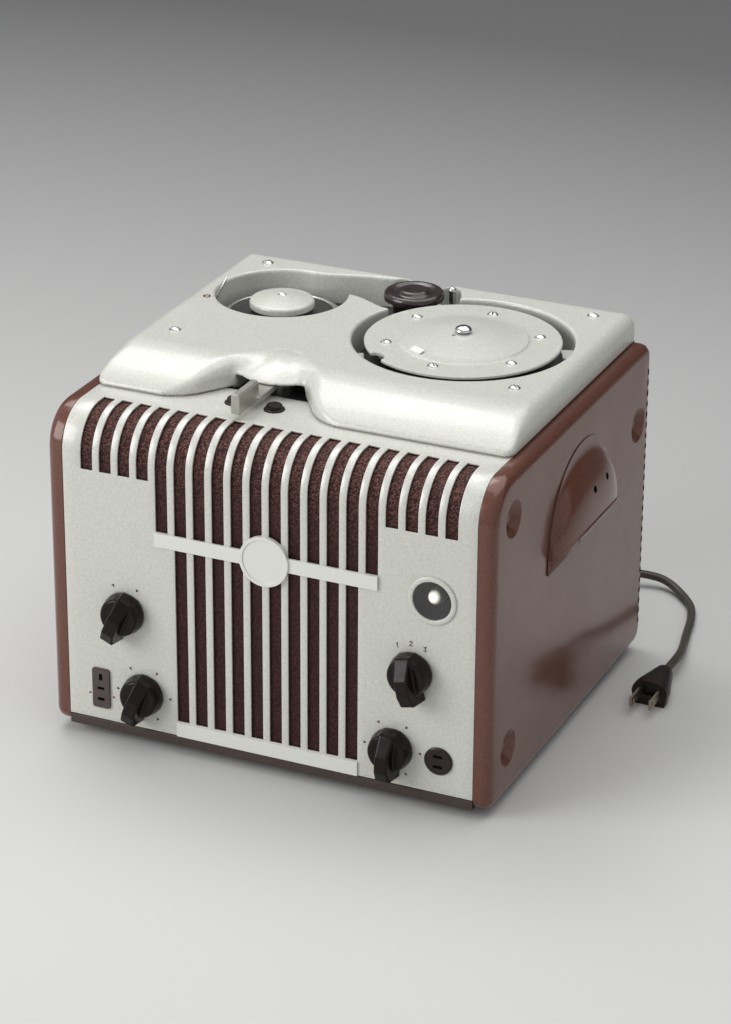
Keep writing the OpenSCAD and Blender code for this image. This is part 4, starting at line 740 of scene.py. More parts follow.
def filled(stops, step):
    """The stops in order, with even steps put between them."""
    stops = np.unique(np.round(stops, 4))
    parts = [np.linspace(a, b, max(1, math.ceil((b - a) / step)), endpoint=False)
             for a, b in zip(stops[:-1], stops[1:])]
    return np.concatenate(parts + [stops[-1:]])


print("sheet:", round(sheet_end - PANEL_LOW, 1), "mm long unrolled,", SLOTS, "slots")

# %% [markdown]
# On the unrolled sheet the grid's columns and rows follow the slots' edges, and the cells in a
# slot are left out. So are those in a square round the pilot lamp, where a round hole will come.

# %% The unrolled sheet with its slots
LAMP_HOLE, LAMP_BOX = 13.45, 16.0
COLUMN_STEP, ROW_STEP = 9.0, 3.2
lamp_low, lamp_high = (on_machine(corner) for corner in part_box("lamp_bezel"))
LAMP = np.round((lamp_low + lamp_high) / 2, 2)[[0, 2]]
columns = filled(np.concatenate([[-PANEL_HALF, PANEL_HALF], slot_x - SLOT_W / 2, slot_x + SLOT_W / 2,
                                 [LAMP[0] - LAMP_BOX, LAMP[0] + LAMP_BOX]]), COLUMN_STEP)
rows = filled(np.concatenate([[PANEL_LOW, bend_from, bend_from + bend_run, slot_end, sheet_end],
                              np.unique(slot_low),
                              [LAMP[1] - LAMP_BOX, LAMP[1] + LAMP_BOX]]), ROW_STEP)
mid_x, mid_run = (columns[1:] + columns[:-1]) / 2, (rows[1:] + rows[:-1]) / 2
slot_no = np.abs(mid_x[:, None] - slot_x[None]).argmin(1)
in_slot = np.abs(mid_x - slot_x[slot_no]) < SLOT_W / 2
above_low = mid_run[:, None] > slot_low[slot_no][None]
open_cell = in_slot[None] & above_low & (mid_run[:, None] < slot_end)
open_cell |= ((np.abs(mid_x - LAMP[0]) < LAMP_BOX)[None]
              & (np.abs(mid_run - LAMP[1]) < LAMP_BOX)[:, None])
panel_points = wrap(columns[None], rows[:, None]).reshape(-1, 3)
sheet_quads = grid_faces(len(rows), len(columns))[~open_cell.ravel()]
print("unrolled sheet:", len(sheet_quads), "quads,", open_cell.sum(), "cells left open")

# %% [markdown]
# The lamp's hole is round, and the grid is square. Each point on the rim of the square that was
# left out gets a partner on the lamp's circle, straight towards the lamp's middle, and one ring of
# quads between them closes the sheet round the hole.

# %% The lamp's hole
near_x = np.nonzero(np.abs(columns - LAMP[0]) < LAMP_BOX + 0.01)[0]
near_run = np.nonzero(np.abs(rows - LAMP[1]) < LAMP_BOX + 0.01)[0]
rim = np.concatenate([
    near_run[0] * len(columns) + near_x[:-1], near_run[:-1] * len(columns) + near_x[-1],
    near_run[-1] * len(columns) + near_x[:0:-1], near_run[:0:-1] * len(columns) + near_x[0]])
spoke = panel_points[rim][:, [0, 2]] - LAMP
spoke *= LAMP_HOLE / np.linalg.norm(spoke, axis=1, keepdims=True)
circle = wrap(LAMP[0] + spoke[:, 0], LAMP[1] + spoke[:, 1])
inner = len(panel_points) + np.arange(len(rim))
ring_quads = np.stack([inner, rim, np.roll(rim, -1), np.roll(inner, -1)], axis=1)
panel_points = np.concatenate([panel_points, circle])
print("lamp's hole:", len(rim), "points round it")

# %% [markdown]
# The sheet so far has no thickness. Solidify gives it the steel's, inwards from the outer face, and
# a hair of bevel takes the light along every slot, as a punched edge does.

# %% Front panel
PUNCHED_EDGE, PUNCHED_ANGLE = 0.00025, math.radians(40)
panel = new_piece("front_sheet", at_mm(panel_points), np.concatenate([sheet_quads, ring_quads]),
                  "case", silver)
weld = panel.modifiers.new("weld", "WELD")
weld.merge_threshold = 2 * WELD_GAP
thick = panel.modifiers.new("thick", "SOLIDIFY")
thick.thickness, thick.offset = SHEET / 1000, -1.0
edge = panel.modifiers.new("edge", "BEVEL")
edge.width, edge.segments = PUNCHED_EDGE, 2
edge.limit_method, edge.angle_limit = "ANGLE", PUNCHED_ANGLE
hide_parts("front_panel")
print("front panel:", len(panel_points), "points")

# %% [markdown]
# Behind the slots a woven cloth is stretched. It is cut in three steps of width, a little past
# the slots of each length, and follows the bend just inside the panel.

# %% The cloth's cut
CLOTH_EDGE, CLOTH_GAP = 3.0, 0.5
CLOTH_COLUMN, CLOTH_ROW = 5.0, 4.0
cloth_steps = [(low - CLOTH_EDGE, slot_x[slot_low == low].max() + SLOT_W / 2 + CLOTH_EDGE)
               for low in np.unique(slot_low)]
cloth_x = filled([side * half for _, half in cloth_steps for side in (-1, 1)], CLOTH_COLUMN)
cloth_run = filled([low for low, _ in cloth_steps]
                   + [bend_from, bend_from + bend_run, slot_end + CLOTH_EDGE], CLOTH_ROW)
mid_x, mid_run = (cloth_x[1:] + cloth_x[:-1]) / 2, (cloth_run[1:] + cloth_run[:-1]) / 2
half_at = np.array([max(half for low, half in cloth_steps if low < run) for run in mid_run])
kept = np.abs(mid_x)[None] < half_at[:, None]
cloth_grid = wrap(cloth_x[None], cloth_run[:, None], -SHEET - CLOTH_GAP)
cloth_quads = grid_faces(len(cloth_run), len(cloth_x))[kept.ravel()]
used, cloth_quads = np.unique(cloth_quads, return_inverse=True)
cloth_uv = np.stack(np.broadcast_arrays(cloth_x[None], cloth_run[:, None]), axis=2)

# %% [markdown]
# The weave is drawn in the sheet's own millimetres, which its UV map holds: warp and weft are two
# sine waves, and every crossing has its own brightness, so that some threads glint like copper,
# more so towards the top: that rise is painted light, for the light that catches the cloth on the
# bend.

# %% Grille cloth
THREAD = 0.8
# Where the painted light on the cloth starts and where it is strongest, in mm up the sheet
PAINTED_LIGHT_FROM, PAINTED_LIGHT_TO = 150, 225
MAROON, COPPER = (0.022, 0.0052, 0.0048), (0.27, 0.12, 0.095)

weave = Finish("grille_weave", Roughness=0.55, Specular_IOR_Level=0.2)
threads = weave.place((1 / THREAD, 1 / THREAD, 1), "UV")
crossing = weave.add("VectorMath", {"operation": "FLOOR"}, {0: threads})
luck = weave.add("TexWhiteNoise", {"noise_dimensions": "2D"}, {"Vector": crossing})
u, v = (weave.add("SeparateXYZ", sockets={"Vector": threads}, out=k) for k in ("X", "Y"))
wave = u.maths("SINE", u * math.tau) * v.maths("SINE", v * math.tau)
run_up = weave.add("SeparateXYZ", sockets={"Vector": weave.add("TexCoord", out="UV")}, out="Y")
# Painted light: the copper grows up the sheet, for the light that catches the bend
painted_top_light = weave.span(run_up, PAINTED_LIGHT_FROM, PAINTED_LIGHT_TO, 0.4, 1.5)
copper_fleck_and_painted_light = weave.span(luck, 0.45, 1.0) * weave.span(wave, -0.7, 0.5) * painted_top_light
weave.set(Base_Color=weave.mix(copper_fleck_and_painted_light, MAROON, COPPER),
          Metallic=weave.span(luck, 0.6, 1.0, 0.0, 0.5))
weave.bump(wave, 0.15, 0.5)
cloth = new_piece("woven_grille", at_mm(cloth_grid.reshape(-1, 3)[used]),
                  cloth_quads.reshape(-1, 4), "case", weave,
                  uv=cloth_uv.reshape(-1, 2)[used])
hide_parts("grille_cloth")
print("cloth:", len(cloth.data.polygons), "quads, threads", THREAD, "mm apart")

# %% [markdown]
# Each knob is a drafted skirt with a bar across it. The bar slopes down to the skirt behind the
# shaft and to a blunt nose in front. A box set on a cylinder would meet it in a hard crease, so a
# knob is a field as well. One net is made in the knob's own directions, along the nose, across it
# and out from the panel, and is then turned to each knob's place.

# %% Bar knobs
SKIRT_R, SKIRT_H, SKIRT_FLANGE, SKIRT_DRAFT, SKIRT_EDGE = 13.5, 9.6, 2.6, 0.22, 1.6
BAR_H, BAR_HALF, BAR_DRAFT, BAR_NOSE, BAR_TAIL, BAR_EDGE = 17.0, 5.7, 0.09, 18.0, 12.8, 0.8
TAIL_FROM, TAIL_SLOPE, NOSE_FROM, NOSE_SLOPE, NOSE_DRAFT = -1.5, 0.75, 9.0, 0.5, 0.1
RIDGE_SCALE, KNOB_VALLEY, KNOB_BASE, KNOB_GAP = 0.85, 0.7, 0.02, 0.6
KNOB_TURNS = {"selector": 247, "volume": 250, "output": 282, "tone": 268}


def knob_field(u, w, h):
    """Drafted skirt and drafted bar, softly joined, cut flat where they face the panel.

    The bar's ridge is level over the shaft and falls in a straight line to either end."""
    wall = np.hypot(u, w) - SKIRT_R + SKIRT_DRAFT * np.maximum(h - SKIRT_FLANGE, 0)
    skirt = both(wall, h - SKIRT_H, SKIRT_EDGE)
    ridge = (BAR_H - TAIL_SLOPE * np.maximum(TAIL_FROM - u, 0)
             - NOSE_SLOPE * np.maximum(u - NOSE_FROM, 0))
    bar = both(np.abs(w) - BAR_HALF + BAR_DRAFT * h, RIDGE_SCALE * (h - ridge), BAR_EDGE)
    bar = both(bar, np.maximum(u - BAR_NOSE + NOSE_DRAFT * h, -BAR_TAIL - u), BAR_EDGE)
    return np.maximum(either(skirt, bar, KNOB_VALLEY), KNOB_BASE - h)


def turned_to_front(points, x=0.0, z=0.0, degrees=0.0, gap=0.0):
    """Points (along, across, out) set on the panel's face, turned and lifted off it."""
    a = math.radians(degrees)
    along, across, out = np.asarray(points, float).T
    return np.stack([x + along * math.cos(a) - across * math.sin(a), -gap - out,
                     z + along * math.sin(a) + across * math.cos(a)], axis=1)


knob_points, knob_quads = net(knob_field, (-14.6, -14.6, -0.7), (19, 14.6, 18), 0.6)
knob_at = {name: axes[name + "_turn"][[0, 2]] for name in KNOB_TURNS}
for name, degrees in KNOB_TURNS.items():
    placed = turned_to_front(knob_points, *knob_at[name], degrees, KNOB_GAP)
    knob = new_piece(name + "_bar_knob", at_mm(placed), knob_quads, name, bakelite)
    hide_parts(name + "_knob")
print("knobs:", len(KNOB_TURNS), "of", len(knob_quads), "quads")

# %% [markdown]
# Round parts are lathe work: a profile of radius and height, run anticlockwise, and turned
# about its axis. Spin would do it too, but with arrays the faces are sure to point outwards. A
# profile that doesn't close on itself is capped at both ends. The first two pieces are the pilot
# lamp's ring and the dark cup behind it, turned to face the front.

# %% Lamp ring and cup


def lathe(profile, closed=True, steps=72):
    """A profile turned about its axis: points and faces."""
    r, h = np.asarray(profile, float).T
    a = ring_angles(steps)
    points = np.stack(np.broadcast_arrays(
        r[:, None] * np.cos(a), r[:, None] * np.sin(a), h[:, None]), axis=2).reshape(-1, 3)
    if not closed:
        return points, tube_faces(len(r), steps)
    return points, grid_faces(len(r), steps, close_rows=True, close_columns=True)


ring_points, ring_faces = lathe([
    (12.25, -1), (13.3, -1), (13.3, 0), (15.4, 0), (15.5, 0.4), (15.2, 0.9), (14.6, 1.15),
    (13.4, 1.3), (12.7, 1.25), (12.25, 0.9)])
ring = new_piece("lamp_ring", at_mm(turned_to_front(ring_points, *LAMP)), ring_faces, "case",
                 silver)
# The cup's black lacquer is in part painted shade, for the darkness inside the lamp
cup_points, cup_faces = lathe([
    (5.1, -14), (13.1, -14), (13.1, -1.05), (12.3, -1.05), (12.0, -6), (9, -12.4), (5.1, -13)])
cup = new_piece("lamp_cup", at_mm(turned_to_front(cup_points, *LAMP)), cup_faces, "case",
                lacquer)
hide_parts("lamp_bezel")
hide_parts("lamp_bezel")
print("turned:", ring.name, "of", len(ring_faces), "faces and", cup.name, "of", len(cup_faces))

# %% [markdown]
# The recording head hides under a dark puck with a groove round its knob, and the supply turntable
# has a bright rim of pressed metal. Both stand upright, so their profiles need no turning to the
# front.

# %% Head puck and turntable rim
puck_points, puck_faces = lathe([
    (0.01, 0), (16.2, 0), (19.2, 1.8), (19.2, 4.4), (18.9, 5.6), (18.1, 6.5), (17, 6.9),
    (15.6, 6.8), (14.4, 6.2), (13, 5.5), (11.4, 5.4), (10.2, 6), (9.5, 7), (8.7, 7.7), (7.4, 8),
    (4, 7.8), (0.01, 7.5)], closed=False)
cap_low = mm(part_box("head_cap")[0].z - side_low.z)
puck = new_piece("head_puck", at_mm(puck_points + (*HEAD, cap_low)), puck_faces, "head",
                 cap_bakelite)
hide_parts("head_cap")
rim_points, rim_faces = lathe([
    (33.6, 213.7), (37.2, 213.7), (37.3, 213.95), (37, 214.4), (34, 214.4), (33.6, 214.1)])
table_rim = new_piece("turntable_rim", at_mm(rim_points + (*SUPPLY, 0)), rim_faces, "supply",
                      bright_steel)
print("turned:", puck.name, "of", len(puck_faces), "faces and", table_rim.name, "of", len(rim_faces))

# %% [markdown]
# Screws have round heads with a slot. The head is a cap of a sphere with a bar taken out of it.
# One net serves every screw, scaled and turned as a hand would have left it.

# %% Screws
DECK_SCREW_X, DECK_SCREW_Y, DECK_SCREW_TURNS = (-113, 113), (107, 239), (20, -35, 70, 5)
DISC_SCREWS, DISC_SCREW_R, DISC_TOP, HUB_TOP = 6, 47.8, 226.8, 226.2
BALL_R, BALL_SINK, HEAD_LOW = 5.0, 3.0, -0.4
CUT_HALF, CUT_FLOOR, CUT_EDGE = 0.55, 0.7, 0.15


def screw_field(u, w, h):
    """A sphere sunk below the deck, with a bar as wide as a driver's blade taken out."""
    cap = np.maximum(np.sqrt(u ** 2 + w ** 2 + (h + BALL_SINK) ** 2) - BALL_R, HEAD_LOW - h)
    return both(cap, np.minimum(CUT_HALF - np.abs(w), h - CUT_FLOOR), CUT_EDGE)


screw_points, screw_quads = net(screw_field, (-4.6, -4.6, -0.8), (4.6, 4.6, 2.6), 0.3)


def screws(name, body, places, size):
    """Slotted heads at places (x, y, z, turn) as one piece."""
    points, quads = [], []
    for k, (x, y, z, degrees) in enumerate(places):
        a = math.radians(degrees)
        u, w, h = size * screw_points.T
        points.append(np.stack([x + u * math.cos(a) - w * math.sin(a),
                                y + u * math.sin(a) + w * math.cos(a), z + h], axis=1))
        quads.append(screw_quads + k * len(screw_points))
    return new_piece(name, at_mm(np.concatenate(points)), np.concatenate(quads), body,
                     bright_steel)


corners = [(x, y, COVER_TOP) for y in DECK_SCREW_Y for x in DECK_SCREW_X]
deck_heads = screws("deck_screw_heads", "case", [
    (*corner, degrees) for corner, degrees in zip(corners, DECK_SCREW_TURNS)], 0.95)
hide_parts("deck_screws")
disc_angles = np.radians(30 + 360 / DISC_SCREWS * np.arange(DISC_SCREWS))
disc_heads = screws("disc_screw_heads", "takeup", [
    (TAKEUP[0] + DISC_SCREW_R * math.cos(a), TAKEUP[1] + DISC_SCREW_R * math.sin(a), DISC_TOP,
     40 + 70 * k) for k, a in enumerate(disc_angles)], 0.88)
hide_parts("takeup_screws")
screws("cap_screw_head", "supply", [(*SUPPLY, HUB_TOP, 15)], 0.7)
print("screws:", len(corners) + DISC_SCREWS + 1, "of", len(screw_quads), "quads")

# %% [markdown]
# The deck's small fittings: a raised tab on the take-up disc that holds the wire's end, an
# eyelet, two brackets in the take-up well, and a springy clip of bent strip by the supply well.
# Boxes set about a middle, a lathe profile and a strip carried along a path are enough for them.

# %% Small fittings


def box(low, high):
    """A box from two corners: points and quads."""
    points = np.array([[(low, high)[k][0], (low, high)[j][1], (low, high)[i][2]]
                       for i in (0, 1) for j in (0, 1) for k in (0, 1)], float)
    return points, np.array([(0, 2, 3, 1), (4, 5, 7, 6), (0, 1, 5, 4), (2, 6, 7, 3),
                             (0, 4, 6, 2), (1, 3, 7, 5)])


def about(points, place, r, degrees):
    """Points (out, round, up) set at a radius and an angle about a place in plan."""
    a = math.radians(degrees)
    out, side, high = np.asarray(points, float).T
    return np.stack([place[0] + (r + out) * math.cos(a) - side * math.sin(a),
                     place[1] + (r + out) * math.sin(a) + side * math.cos(a), high], axis=1)


TAB_R, TAB_ANGLE, TAB_LEAN = 37, -117, 0.3
tab_points, box_quads = box((-2.2, -4.8, 228.4), (2.2, 4.8, 229.2))
tab_points[:, 2] -= TAB_LEAN * tab_points[:, 0]
new_piece("wire_tab", at_mm(about(tab_points, TAKEUP, TAB_R, TAB_ANGLE)), box_quads, "takeup",
          ivory, smooth=False)
EYELET = (-121.3, 167.4, 0)
eyelet_points, eyelet_faces = lathe([
    (1.3, 227.4), (2.5, 227.4), (2.4, 227.8), (1.4, 227.7)], steps=24)
new_piece("deck_eyelet", at_mm(eyelet_points + EYELET), eyelet_faces, "case", brown)
brackets = ((4.5, -155), (7.0, 27))   # half width, angle
bracket_points = np.concatenate([
    about(box((-7.6, -half, 215), (-0.1, half, 216.2))[0], TAKEUP, TAKEUP_WELL_R, degrees)
    for half, degrees in brackets])
new_piece("well_clips", at_mm(bracket_points), np.concatenate([box_quads, box_quads + 8]), "case",
          ivory, smooth=False)
spring_path = smooth_through(np.array([
    (-118.6, 173.4, 219), (-118.3, 174, 222.5), (-117.6, 176, 226.4), (-117, 179.6, 229.6),
    (-116.8, 184, 232), (-117.2, 187.5, 233.6)]), 6)
strip = [(-0.25, 0.8), (0.25, 0.8), (0.25, -0.8), (-0.25, -0.8)]
spring = carried(spring_path, strip)
new_piece("wire_clip", at_mm(spring.reshape(-1, 3)), tube_faces(len(spring_path), len(strip)),
          "case", steel, smooth=False)
print("fittings: tab, eyelet,", len(brackets), "brackets and a clip of", len(spring_path), "rings")

# %% [markdown]
# The sockets' slots show as black mouths, which is the shade inside them. Holes cut into the
# mouldings would look no different at this size, so each is a thin box of painted shade that
# stands a hair proud of the socket's face.

# %% Socket slots
INPUT_X, INPUT_OUT, OUTPUT_X, OUTPUT_OUT = -112.4, 1.15, 113, 1.35
slots = [(INPUT_X, 36.6, 2.4, 4.4, INPUT_OUT), (INPUT_X, 29, 4.8, 1.9, INPUT_OUT),
         (INPUT_X, 21.6, 4.8, 2.1, INPUT_OUT), (OUTPUT_X, 25.6, 6, 2, OUTPUT_OUT),
         (OUTPUT_X, 32.4, 6, 2, OUTPUT_OUT)]   # x, z, width, height, how far out
slot_points, slot_faces = zip(*[box((x - w / 2, z - h / 2, 0.2), (x + w / 2, z + h / 2, out))
                                for x, z, w, h, out in slots])
slot_faces = np.concatenate([f + 8 * k for k, f in enumerate(slot_faces)])
new_piece("socket_slot_shade", at_mm(turned_to_front(np.concatenate(slot_points))), slot_faces,
          "case", hole_shade, smooth=False)
print("socket slots:", len(slots))

# %% [markdown]
# Ink on the panel could be a picture, but a flat polygon with a hair of thickness stays sharp at any
# size. One helper gives outlines that thickness, another sets a small outline about a middle, and a
# third makes a thick line of a few points.

# %% Outlines in ink
INK_LOW, INK_HIGH, STROKE_W = -0.02, 0.05, 0.55


def prisms(outlines):
    """Flat polygons given the ink's thickness: points and faces."""
    points, faces = [], []
    for outline in outlines:
        n, first = len(outline), len(points)
        points += [(*p, INK_LOW) for p in outline] + [(*p, INK_HIGH) for p in outline]
        faces.append([first + n + k for k in range(n)])
        faces.append([first + k for k in range(n)][::-1])
        faces += [[first + k, first + (k + 1) % n, first + n + (k + 1) % n, first + n + k]
                  for k in range(n)]
    return np.array(points, float), faces


def around(place, r, degrees, shape):
    """A small outline moved out to a radius and turned to face the middle."""
    a = math.radians(degrees)
    x, z = np.asarray(shape, float).T
    return np.stack([place[0] + (r + x) * math.cos(a) - z * math.sin(a),
                     place[1] + (r + x) * math.sin(a) + z * math.cos(a)], axis=1)


def stroke(points):
    """A thick line through points, one quad a stretch."""
    p = np.asarray(points, float)
    along = np.diff(p, axis=0)
    along /= np.linalg.norm(along, axis=1, keepdims=True)
    side = np.stack([-along[:, 1], along[:, 0]], axis=1) * STROKE_W / 2
    cap = along * STROKE_W / 2
    return [np.array([a - c - s, b + c - s, b + c + s, a - c + s])
            for a, b, c, s in zip(p[:-1], p[1:], cap, side)]


print("a stroke through 4 points:", len(stroke([(0, 0), (1, 0), (1, 1), (0, 1)])), "outlines")

# %% [markdown]
# The panel carries its scale marks: arrowheads round the knobs, plain numbers at the output
# selector, and two red dots by the input socket. A mark at a knob is placed by its radius and its
# angle about the shaft, as a draughtsman would lay it out.

# %% Printed marks
ARROW = [(-1.1, 0), (0.9, -1.1), (0.9, 1.1)]
TRAVEL = (0, 60, 120, 180, 300)
ARROWS = {"volume": (17.8, TRAVEL), "tone": (17.8, TRAVEL), "selector": (18.2, (62, 114))}
NUMBER_R, NUMBER_ANGLES = 18.6, {1: 120, 2: 92, 3: 64}
DOT_R, DOT_SIDES, DOTS = 0.8, 16, ((-120.6, 24), (-104.2, 24))
FIGURES = {1: [(0, -1.4), (0, 1.4), (-0.6, 0.9)],
           2: [(-0.9, 0.8), (-0.4, 1.4), (0.5, 1.4), (0.9, 0.7), (-0.9, -1.4), (0.9, -1.4)],
           3: [(-0.9, 1.4), (0.9, 1.4), (-0.1, 0.3), (0.8, -0.3), (0.7, -1.1), (0, -1.4),
               (-0.9, -1)]}
outlines = [around(knob_at[name], r, degrees, ARROW)
            for name, (r, angles) in ARROWS.items() for degrees in angles]
for number, degrees in NUMBER_ANGLES.items():
    middle = around(knob_at["output"], NUMBER_R, degrees, [(0, 0)])[0]
    outlines += [q + middle for q in stroke(FIGURES[number])]
mark_points, mark_faces = prisms(outlines)
new_piece("scale_marks", at_mm(turned_to_front(mark_points)), mark_faces, "case", ink)
a = ring_angles(DOT_SIDES)
dot = DOT_R * np.stack([np.cos(a), np.sin(a)], axis=1)
dot_points, dot_faces = prisms([dot + place for place in DOTS])
new_piece("input_dots", at_mm(turned_to_front(dot_points)), dot_faces, "case", red_ink)
print("marks:", len(outlines), "outlines and", len(DOTS), "dots")

# %% [markdown]
# Each hand grip is a pressed half moon: a thin flange with a hood that bellies out of it. Up one
# section the hood falls from its free lip to the flange as one minus the cube of the height, and
# along the grip it dies away as a flattened circle does.

# %% The grip's hood
GRIP_Y, GRIP_LOW, GRIP_HALF, GRIP_H, FLANGE = 139.0, 120.5, 55.0, 67.0, 0.5
HOOD_HALF, HOOD_H, HOOD_OUT, HOOD_RISE, HOOD_BASE, HOOD_POWER = 51.0, 57.0, 11.4, 18.0, 10.0, 2.4
HOOD_STEPS, HOOD_ROWS, FLANGE_MID = 61, 17, 53.0


def hood(y):
    """Swell of the hood at a place along the grip, with the heights of its lip and its foot."""
    swell = (1 - np.minimum(1, np.abs(y) / HOOD_HALF) ** HOOD_POWER) ** (1 / HOOD_POWER)
    base = HOOD_BASE * np.minimum(1, 4 * swell)
    return swell, base + (HOOD_RISE - base) * swell ** 2, base + (HOOD_H - base) * swell


def grip_points(y, s):
    """Outer skin at a place along the grip and a share of the way up from the lip."""
    swell, lip, foot = hood(y)
    return np.stack(np.broadcast_arrays(
        HALF_W + FLANGE + HOOD_OUT * swell * (1 - s ** 3), GRIP_Y + y,
        GRIP_LOW + lip + (foot - lip) * s), axis=-1)


ease = HOOD_HALF * np.sin(np.linspace(-np.pi / 2, np.pi / 2, HOOD_STEPS))
along = np.concatenate([[-GRIP_HALF, -FLANGE_MID], ease, [FLANGE_MID, GRIP_HALF]])
shell = grip_points(along[:, None], np.linspace(0, 1, HOOD_ROWS)[None])
arch = GRIP_LOW + GRIP_H - GRIP_HALF + np.sqrt(GRIP_HALF ** 2 - along ** 2)
outer = np.stack([np.full(len(along), HALF_W + FLANGE), GRIP_Y + along, arch], axis=1)
flange = np.stack([shell[:, -1] * (1 - t) + outer * t for t in (0.5, 1.0)], axis=1)
shell = np.concatenate([shell, flange], axis=1)
print("hood:", shell.shape[0], "by", shell.shape[1], "points")

# %% [markdown]
# The lip is rolled into a bead and a flat band runs under it. The hood's two small holes are discs
# of painted shade, a hair proud of its skin. The left grip is the right one mirrored, with its faces
# turned round again.

# %% Both hand grips
BEAD_R, BEAD_SIDES, BEAD_RINGS, BEAD_SHARE = 0.75, 10, 90, 0.985
BAND_H, BAND_IN, BAND_SHORT = 8.5, 0.05, 3.0
HOLE_R, HOLE_SIDES, HOLE_H, HOLE_ALONG, HOLE_PROUD = 2.2, 24, 38, (-4.0, 18.0), 0.06
lip_path = grip_points(HOOD_HALF * np.linspace(-BEAD_SHARE, BEAD_SHARE, BEAD_RINGS), 0.0)
a = ring_angles(BEAD_SIDES, -1)
bead = carried(lip_path, BEAD_R * np.stack([np.cos(a), np.sin(a)], axis=1))
band, band_quads = box(
    (HALF_W + BAND_IN, GRIP_Y - GRIP_HALF, GRIP_LOW),
    (HALF_W + 2 * FLANGE, GRIP_Y + GRIP_HALF - BAND_SHORT, GRIP_LOW + BAND_H))
parts = [(shell.reshape(-1, 3), grid_faces(*shell.shape[:2])),
         (bead.reshape(-1, 3), grid_faces(BEAD_RINGS, BEAD_SIDES, close_columns=True)),
         (band, band_quads)]

# Painted shade: each hole is a dark disc laid a hair proud of the hood, not cut through it
a = ring_angles(HOLE_SIDES)
holes = []
for hole_y in HOLE_ALONG:
    across, high = hole_y + HOLE_R * np.cos(a), HOLE_H + HOLE_R * np.sin(a)
    _, lip, foot = hood(across)
    holes.append(grip_points(across, (high - lip) / (foot - lip)) + (HOLE_PROUD, 0, 0))
hole_faces = np.arange(len(holes) * HOLE_SIDES).reshape(len(holes), HOLE_SIDES)
SIDES = (("right", 1), ("left", -1))
for name, side in SIDES:
    first, points, faces = 0, [], []
    for part_points, part_faces in parts:
        points.append(part_points * (side, 1, 1))
        faces += [list(f)[::side] for f in part_faces + first]
        first += len(part_points)
    grip = new_piece("grip_" + name, at_mm(np.concatenate(points)), faces, "case", brown)
    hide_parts("hand_grip_" + name)
    new_piece("grip_holes_" + name, at_mm(np.concatenate(holes) * (side, 1, 1)),
              hole_faces[:, ::side], "case", hole_shade)
print("grips:", len(faces), "faces each")

# %% [markdown]
# Along the rear edge of each side panel runs a row of vent slots. They bite into the round edge,
# so each is drawn as a short strip of painted shade, for the shade inside the slot, that starts on
# the flat and goes a little way round.

# %% Vent slots
EDGE_R, VENTS, VENT_FIRST, VENT_PITCH, VENT_H = 6.0, 25, 14.0, 7.25, 3.5
VENT_PROUD, VENT_FLAT, VENT_ROUND = 0.03, 1.4, 28
bend = np.radians(np.linspace(0, VENT_ROUND, 5))
arc = np.stack([HALF_W - EDGE_R + (EDGE_R + VENT_PROUD) * np.cos(bend),
                CASE_D - EDGE_R + (EDGE_R + VENT_PROUD) * np.sin(bend)], axis=1)
arc = np.concatenate([[(HALF_W + VENT_PROUD, CASE_D - EDGE_R - VENT_FLAT)], arc])
ends = VENT_FIRST + VENT_PITCH * np.arange(VENTS)[:, None] + (0.0, VENT_H)
plan, height = np.broadcast_arrays(arc[None, None], ends[:, :, None, None])
strips = np.concatenate([plan, height[..., :1]], axis=3)
vent_quads = np.concatenate([grid_faces(2, len(arc), first=2 * len(arc) * k) for k in range(VENTS)])
for name, side in SIDES:
    new_piece("vents_" + name, at_mm(strips.reshape(-1, 3) * (side, 1, 1)),
              vent_quads[:, ::side], "case", hole_shade)
print("vents:", VENTS, "a side")

# %% [markdown]
# The studio starts with a pale sweep that rises behind the machine, with painted shade that darkens
# it with depth. Its profile is a floor, a quarter circle and a wall.

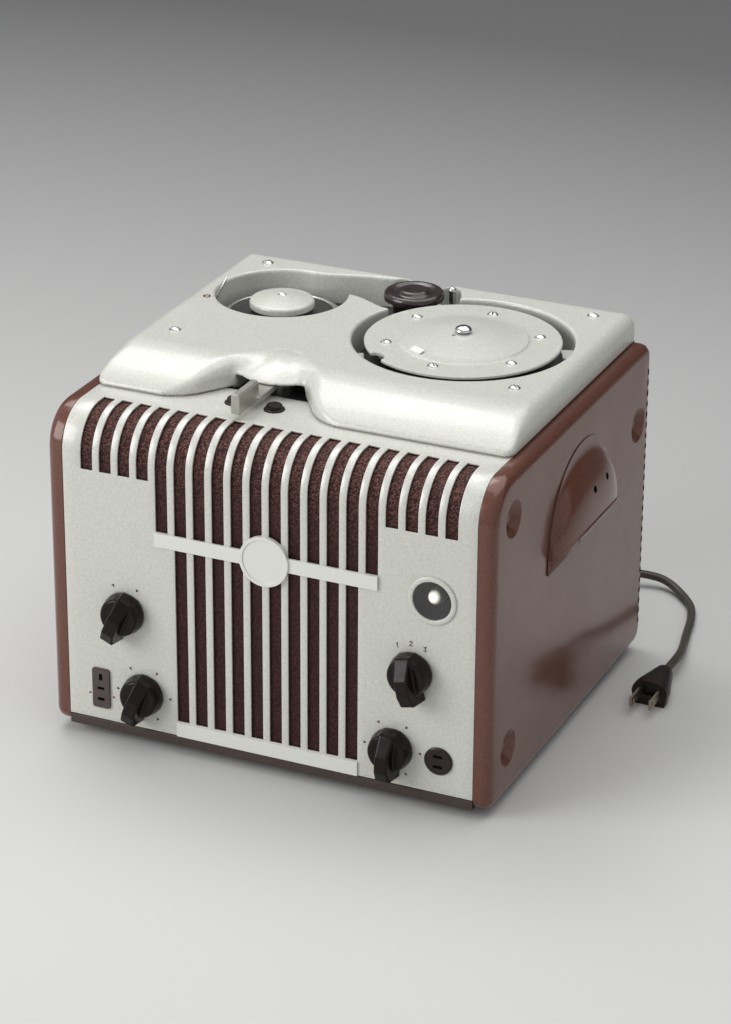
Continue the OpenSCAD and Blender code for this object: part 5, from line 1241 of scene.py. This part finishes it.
# %% Sweep
SWEEP_HALF, FLOOR_FRONT, BEND_AT, SWEEP_R, WALL_TOP = 8.0, -4.0, 2.4, 1.2, 4.0
PAINTED_SHADE_FROM, PAINTED_SHADE_TO = -0.1, 1.4
a = np.linspace(0, np.pi / 2, 24)
sweep_y = np.concatenate([[FLOOR_FRONT, BEND_AT], BEND_AT + SWEEP_R * np.sin(a), [BEND_AT + SWEEP_R]])
sweep_z = np.concatenate([[0, 0], SWEEP_R * (1 - np.cos(a)), [WALL_TOP]])
sweep_x = np.array([-SWEEP_HALF, SWEEP_HALF])
grid = np.stack(np.broadcast_arrays(sweep_x[:, None], sweep_y[None], sweep_z[None]), axis=2)
sweep = mesh_object("sweep", grid.reshape(-1, 3), grid_faces(2, len(sweep_y)))
backdrop = Finish("pale_sweep", Roughness=0.75)
depth = backdrop.add("SeparateXYZ", sockets={
    "Vector": backdrop.add("TexCoord", out="Object")}, out="Y")
# Painted shade: the sweep's colour darkens towards the wall, where less light reaches
shade = backdrop.span(depth, PAINTED_SHADE_FROM, PAINTED_SHADE_TO)
backdrop.set(Base_Color=backdrop.mix(shade, (0.585, 0.585, 0.57), (0.16, 0.16, 0.16)))
sweep.data.materials.append(backdrop.material)
print("sweep:", len(sweep.data.polygons), "quads")

# %% [markdown]
# Three soft lamps light it: a key from the front left, a wide one overhead and a small one behind.
# Their strength is plain, so a colour renders about as it is written, and the world fills in.

# %% Lamps and surroundings
LAMPS_AIM = (0, 0, 0.1)
SKY_COLOUR, SKY_STRENGTH = (0.75, 0.76, 0.78, 1), 0.65


def lamp(name, place, size, watts):
    """A square soft lamp at a place, turned to the machine's middle."""
    data = bpy.data.lights.new(name, "AREA")
    data.energy, data.size = watts, size
    light = bpy.data.objects.new(name, data)
    away = np.asarray(place, float) - LAMPS_AIM
    away /= np.linalg.norm(away)
    side = np.cross((0, 0, 1.0), away)
    side /= np.linalg.norm(side)
    turned = np.eye(4)
    turned[:3, :3] = np.stack([side, np.cross(away, side), away], axis=1)
    turned[:3, 3] = place
    light.matrix_world = Matrix(turned.tolist())
    scene.collection.objects.link(light)


lamp("key", (-1.35, -1.45, 0.95), size=1.3, watts=26)
lamp("top", (0.2, 0.4, 1.9), size=2.2, watts=23)
lamp("rim", (-0.8, 0.6, 1.8), size=0.9, watts=9)
world = bpy.data.worlds.new("studio")
world.use_nodes = True
sky = world.node_tree.nodes["Background"].inputs
sky["Color"].default_value, sky["Strength"].default_value = SKY_COLOUR, SKY_STRENGTH
scene.world = world
scene.view_settings.view_transform = "Standard"
print("lamps:", len(bpy.data.lights))

# %% [markdown]
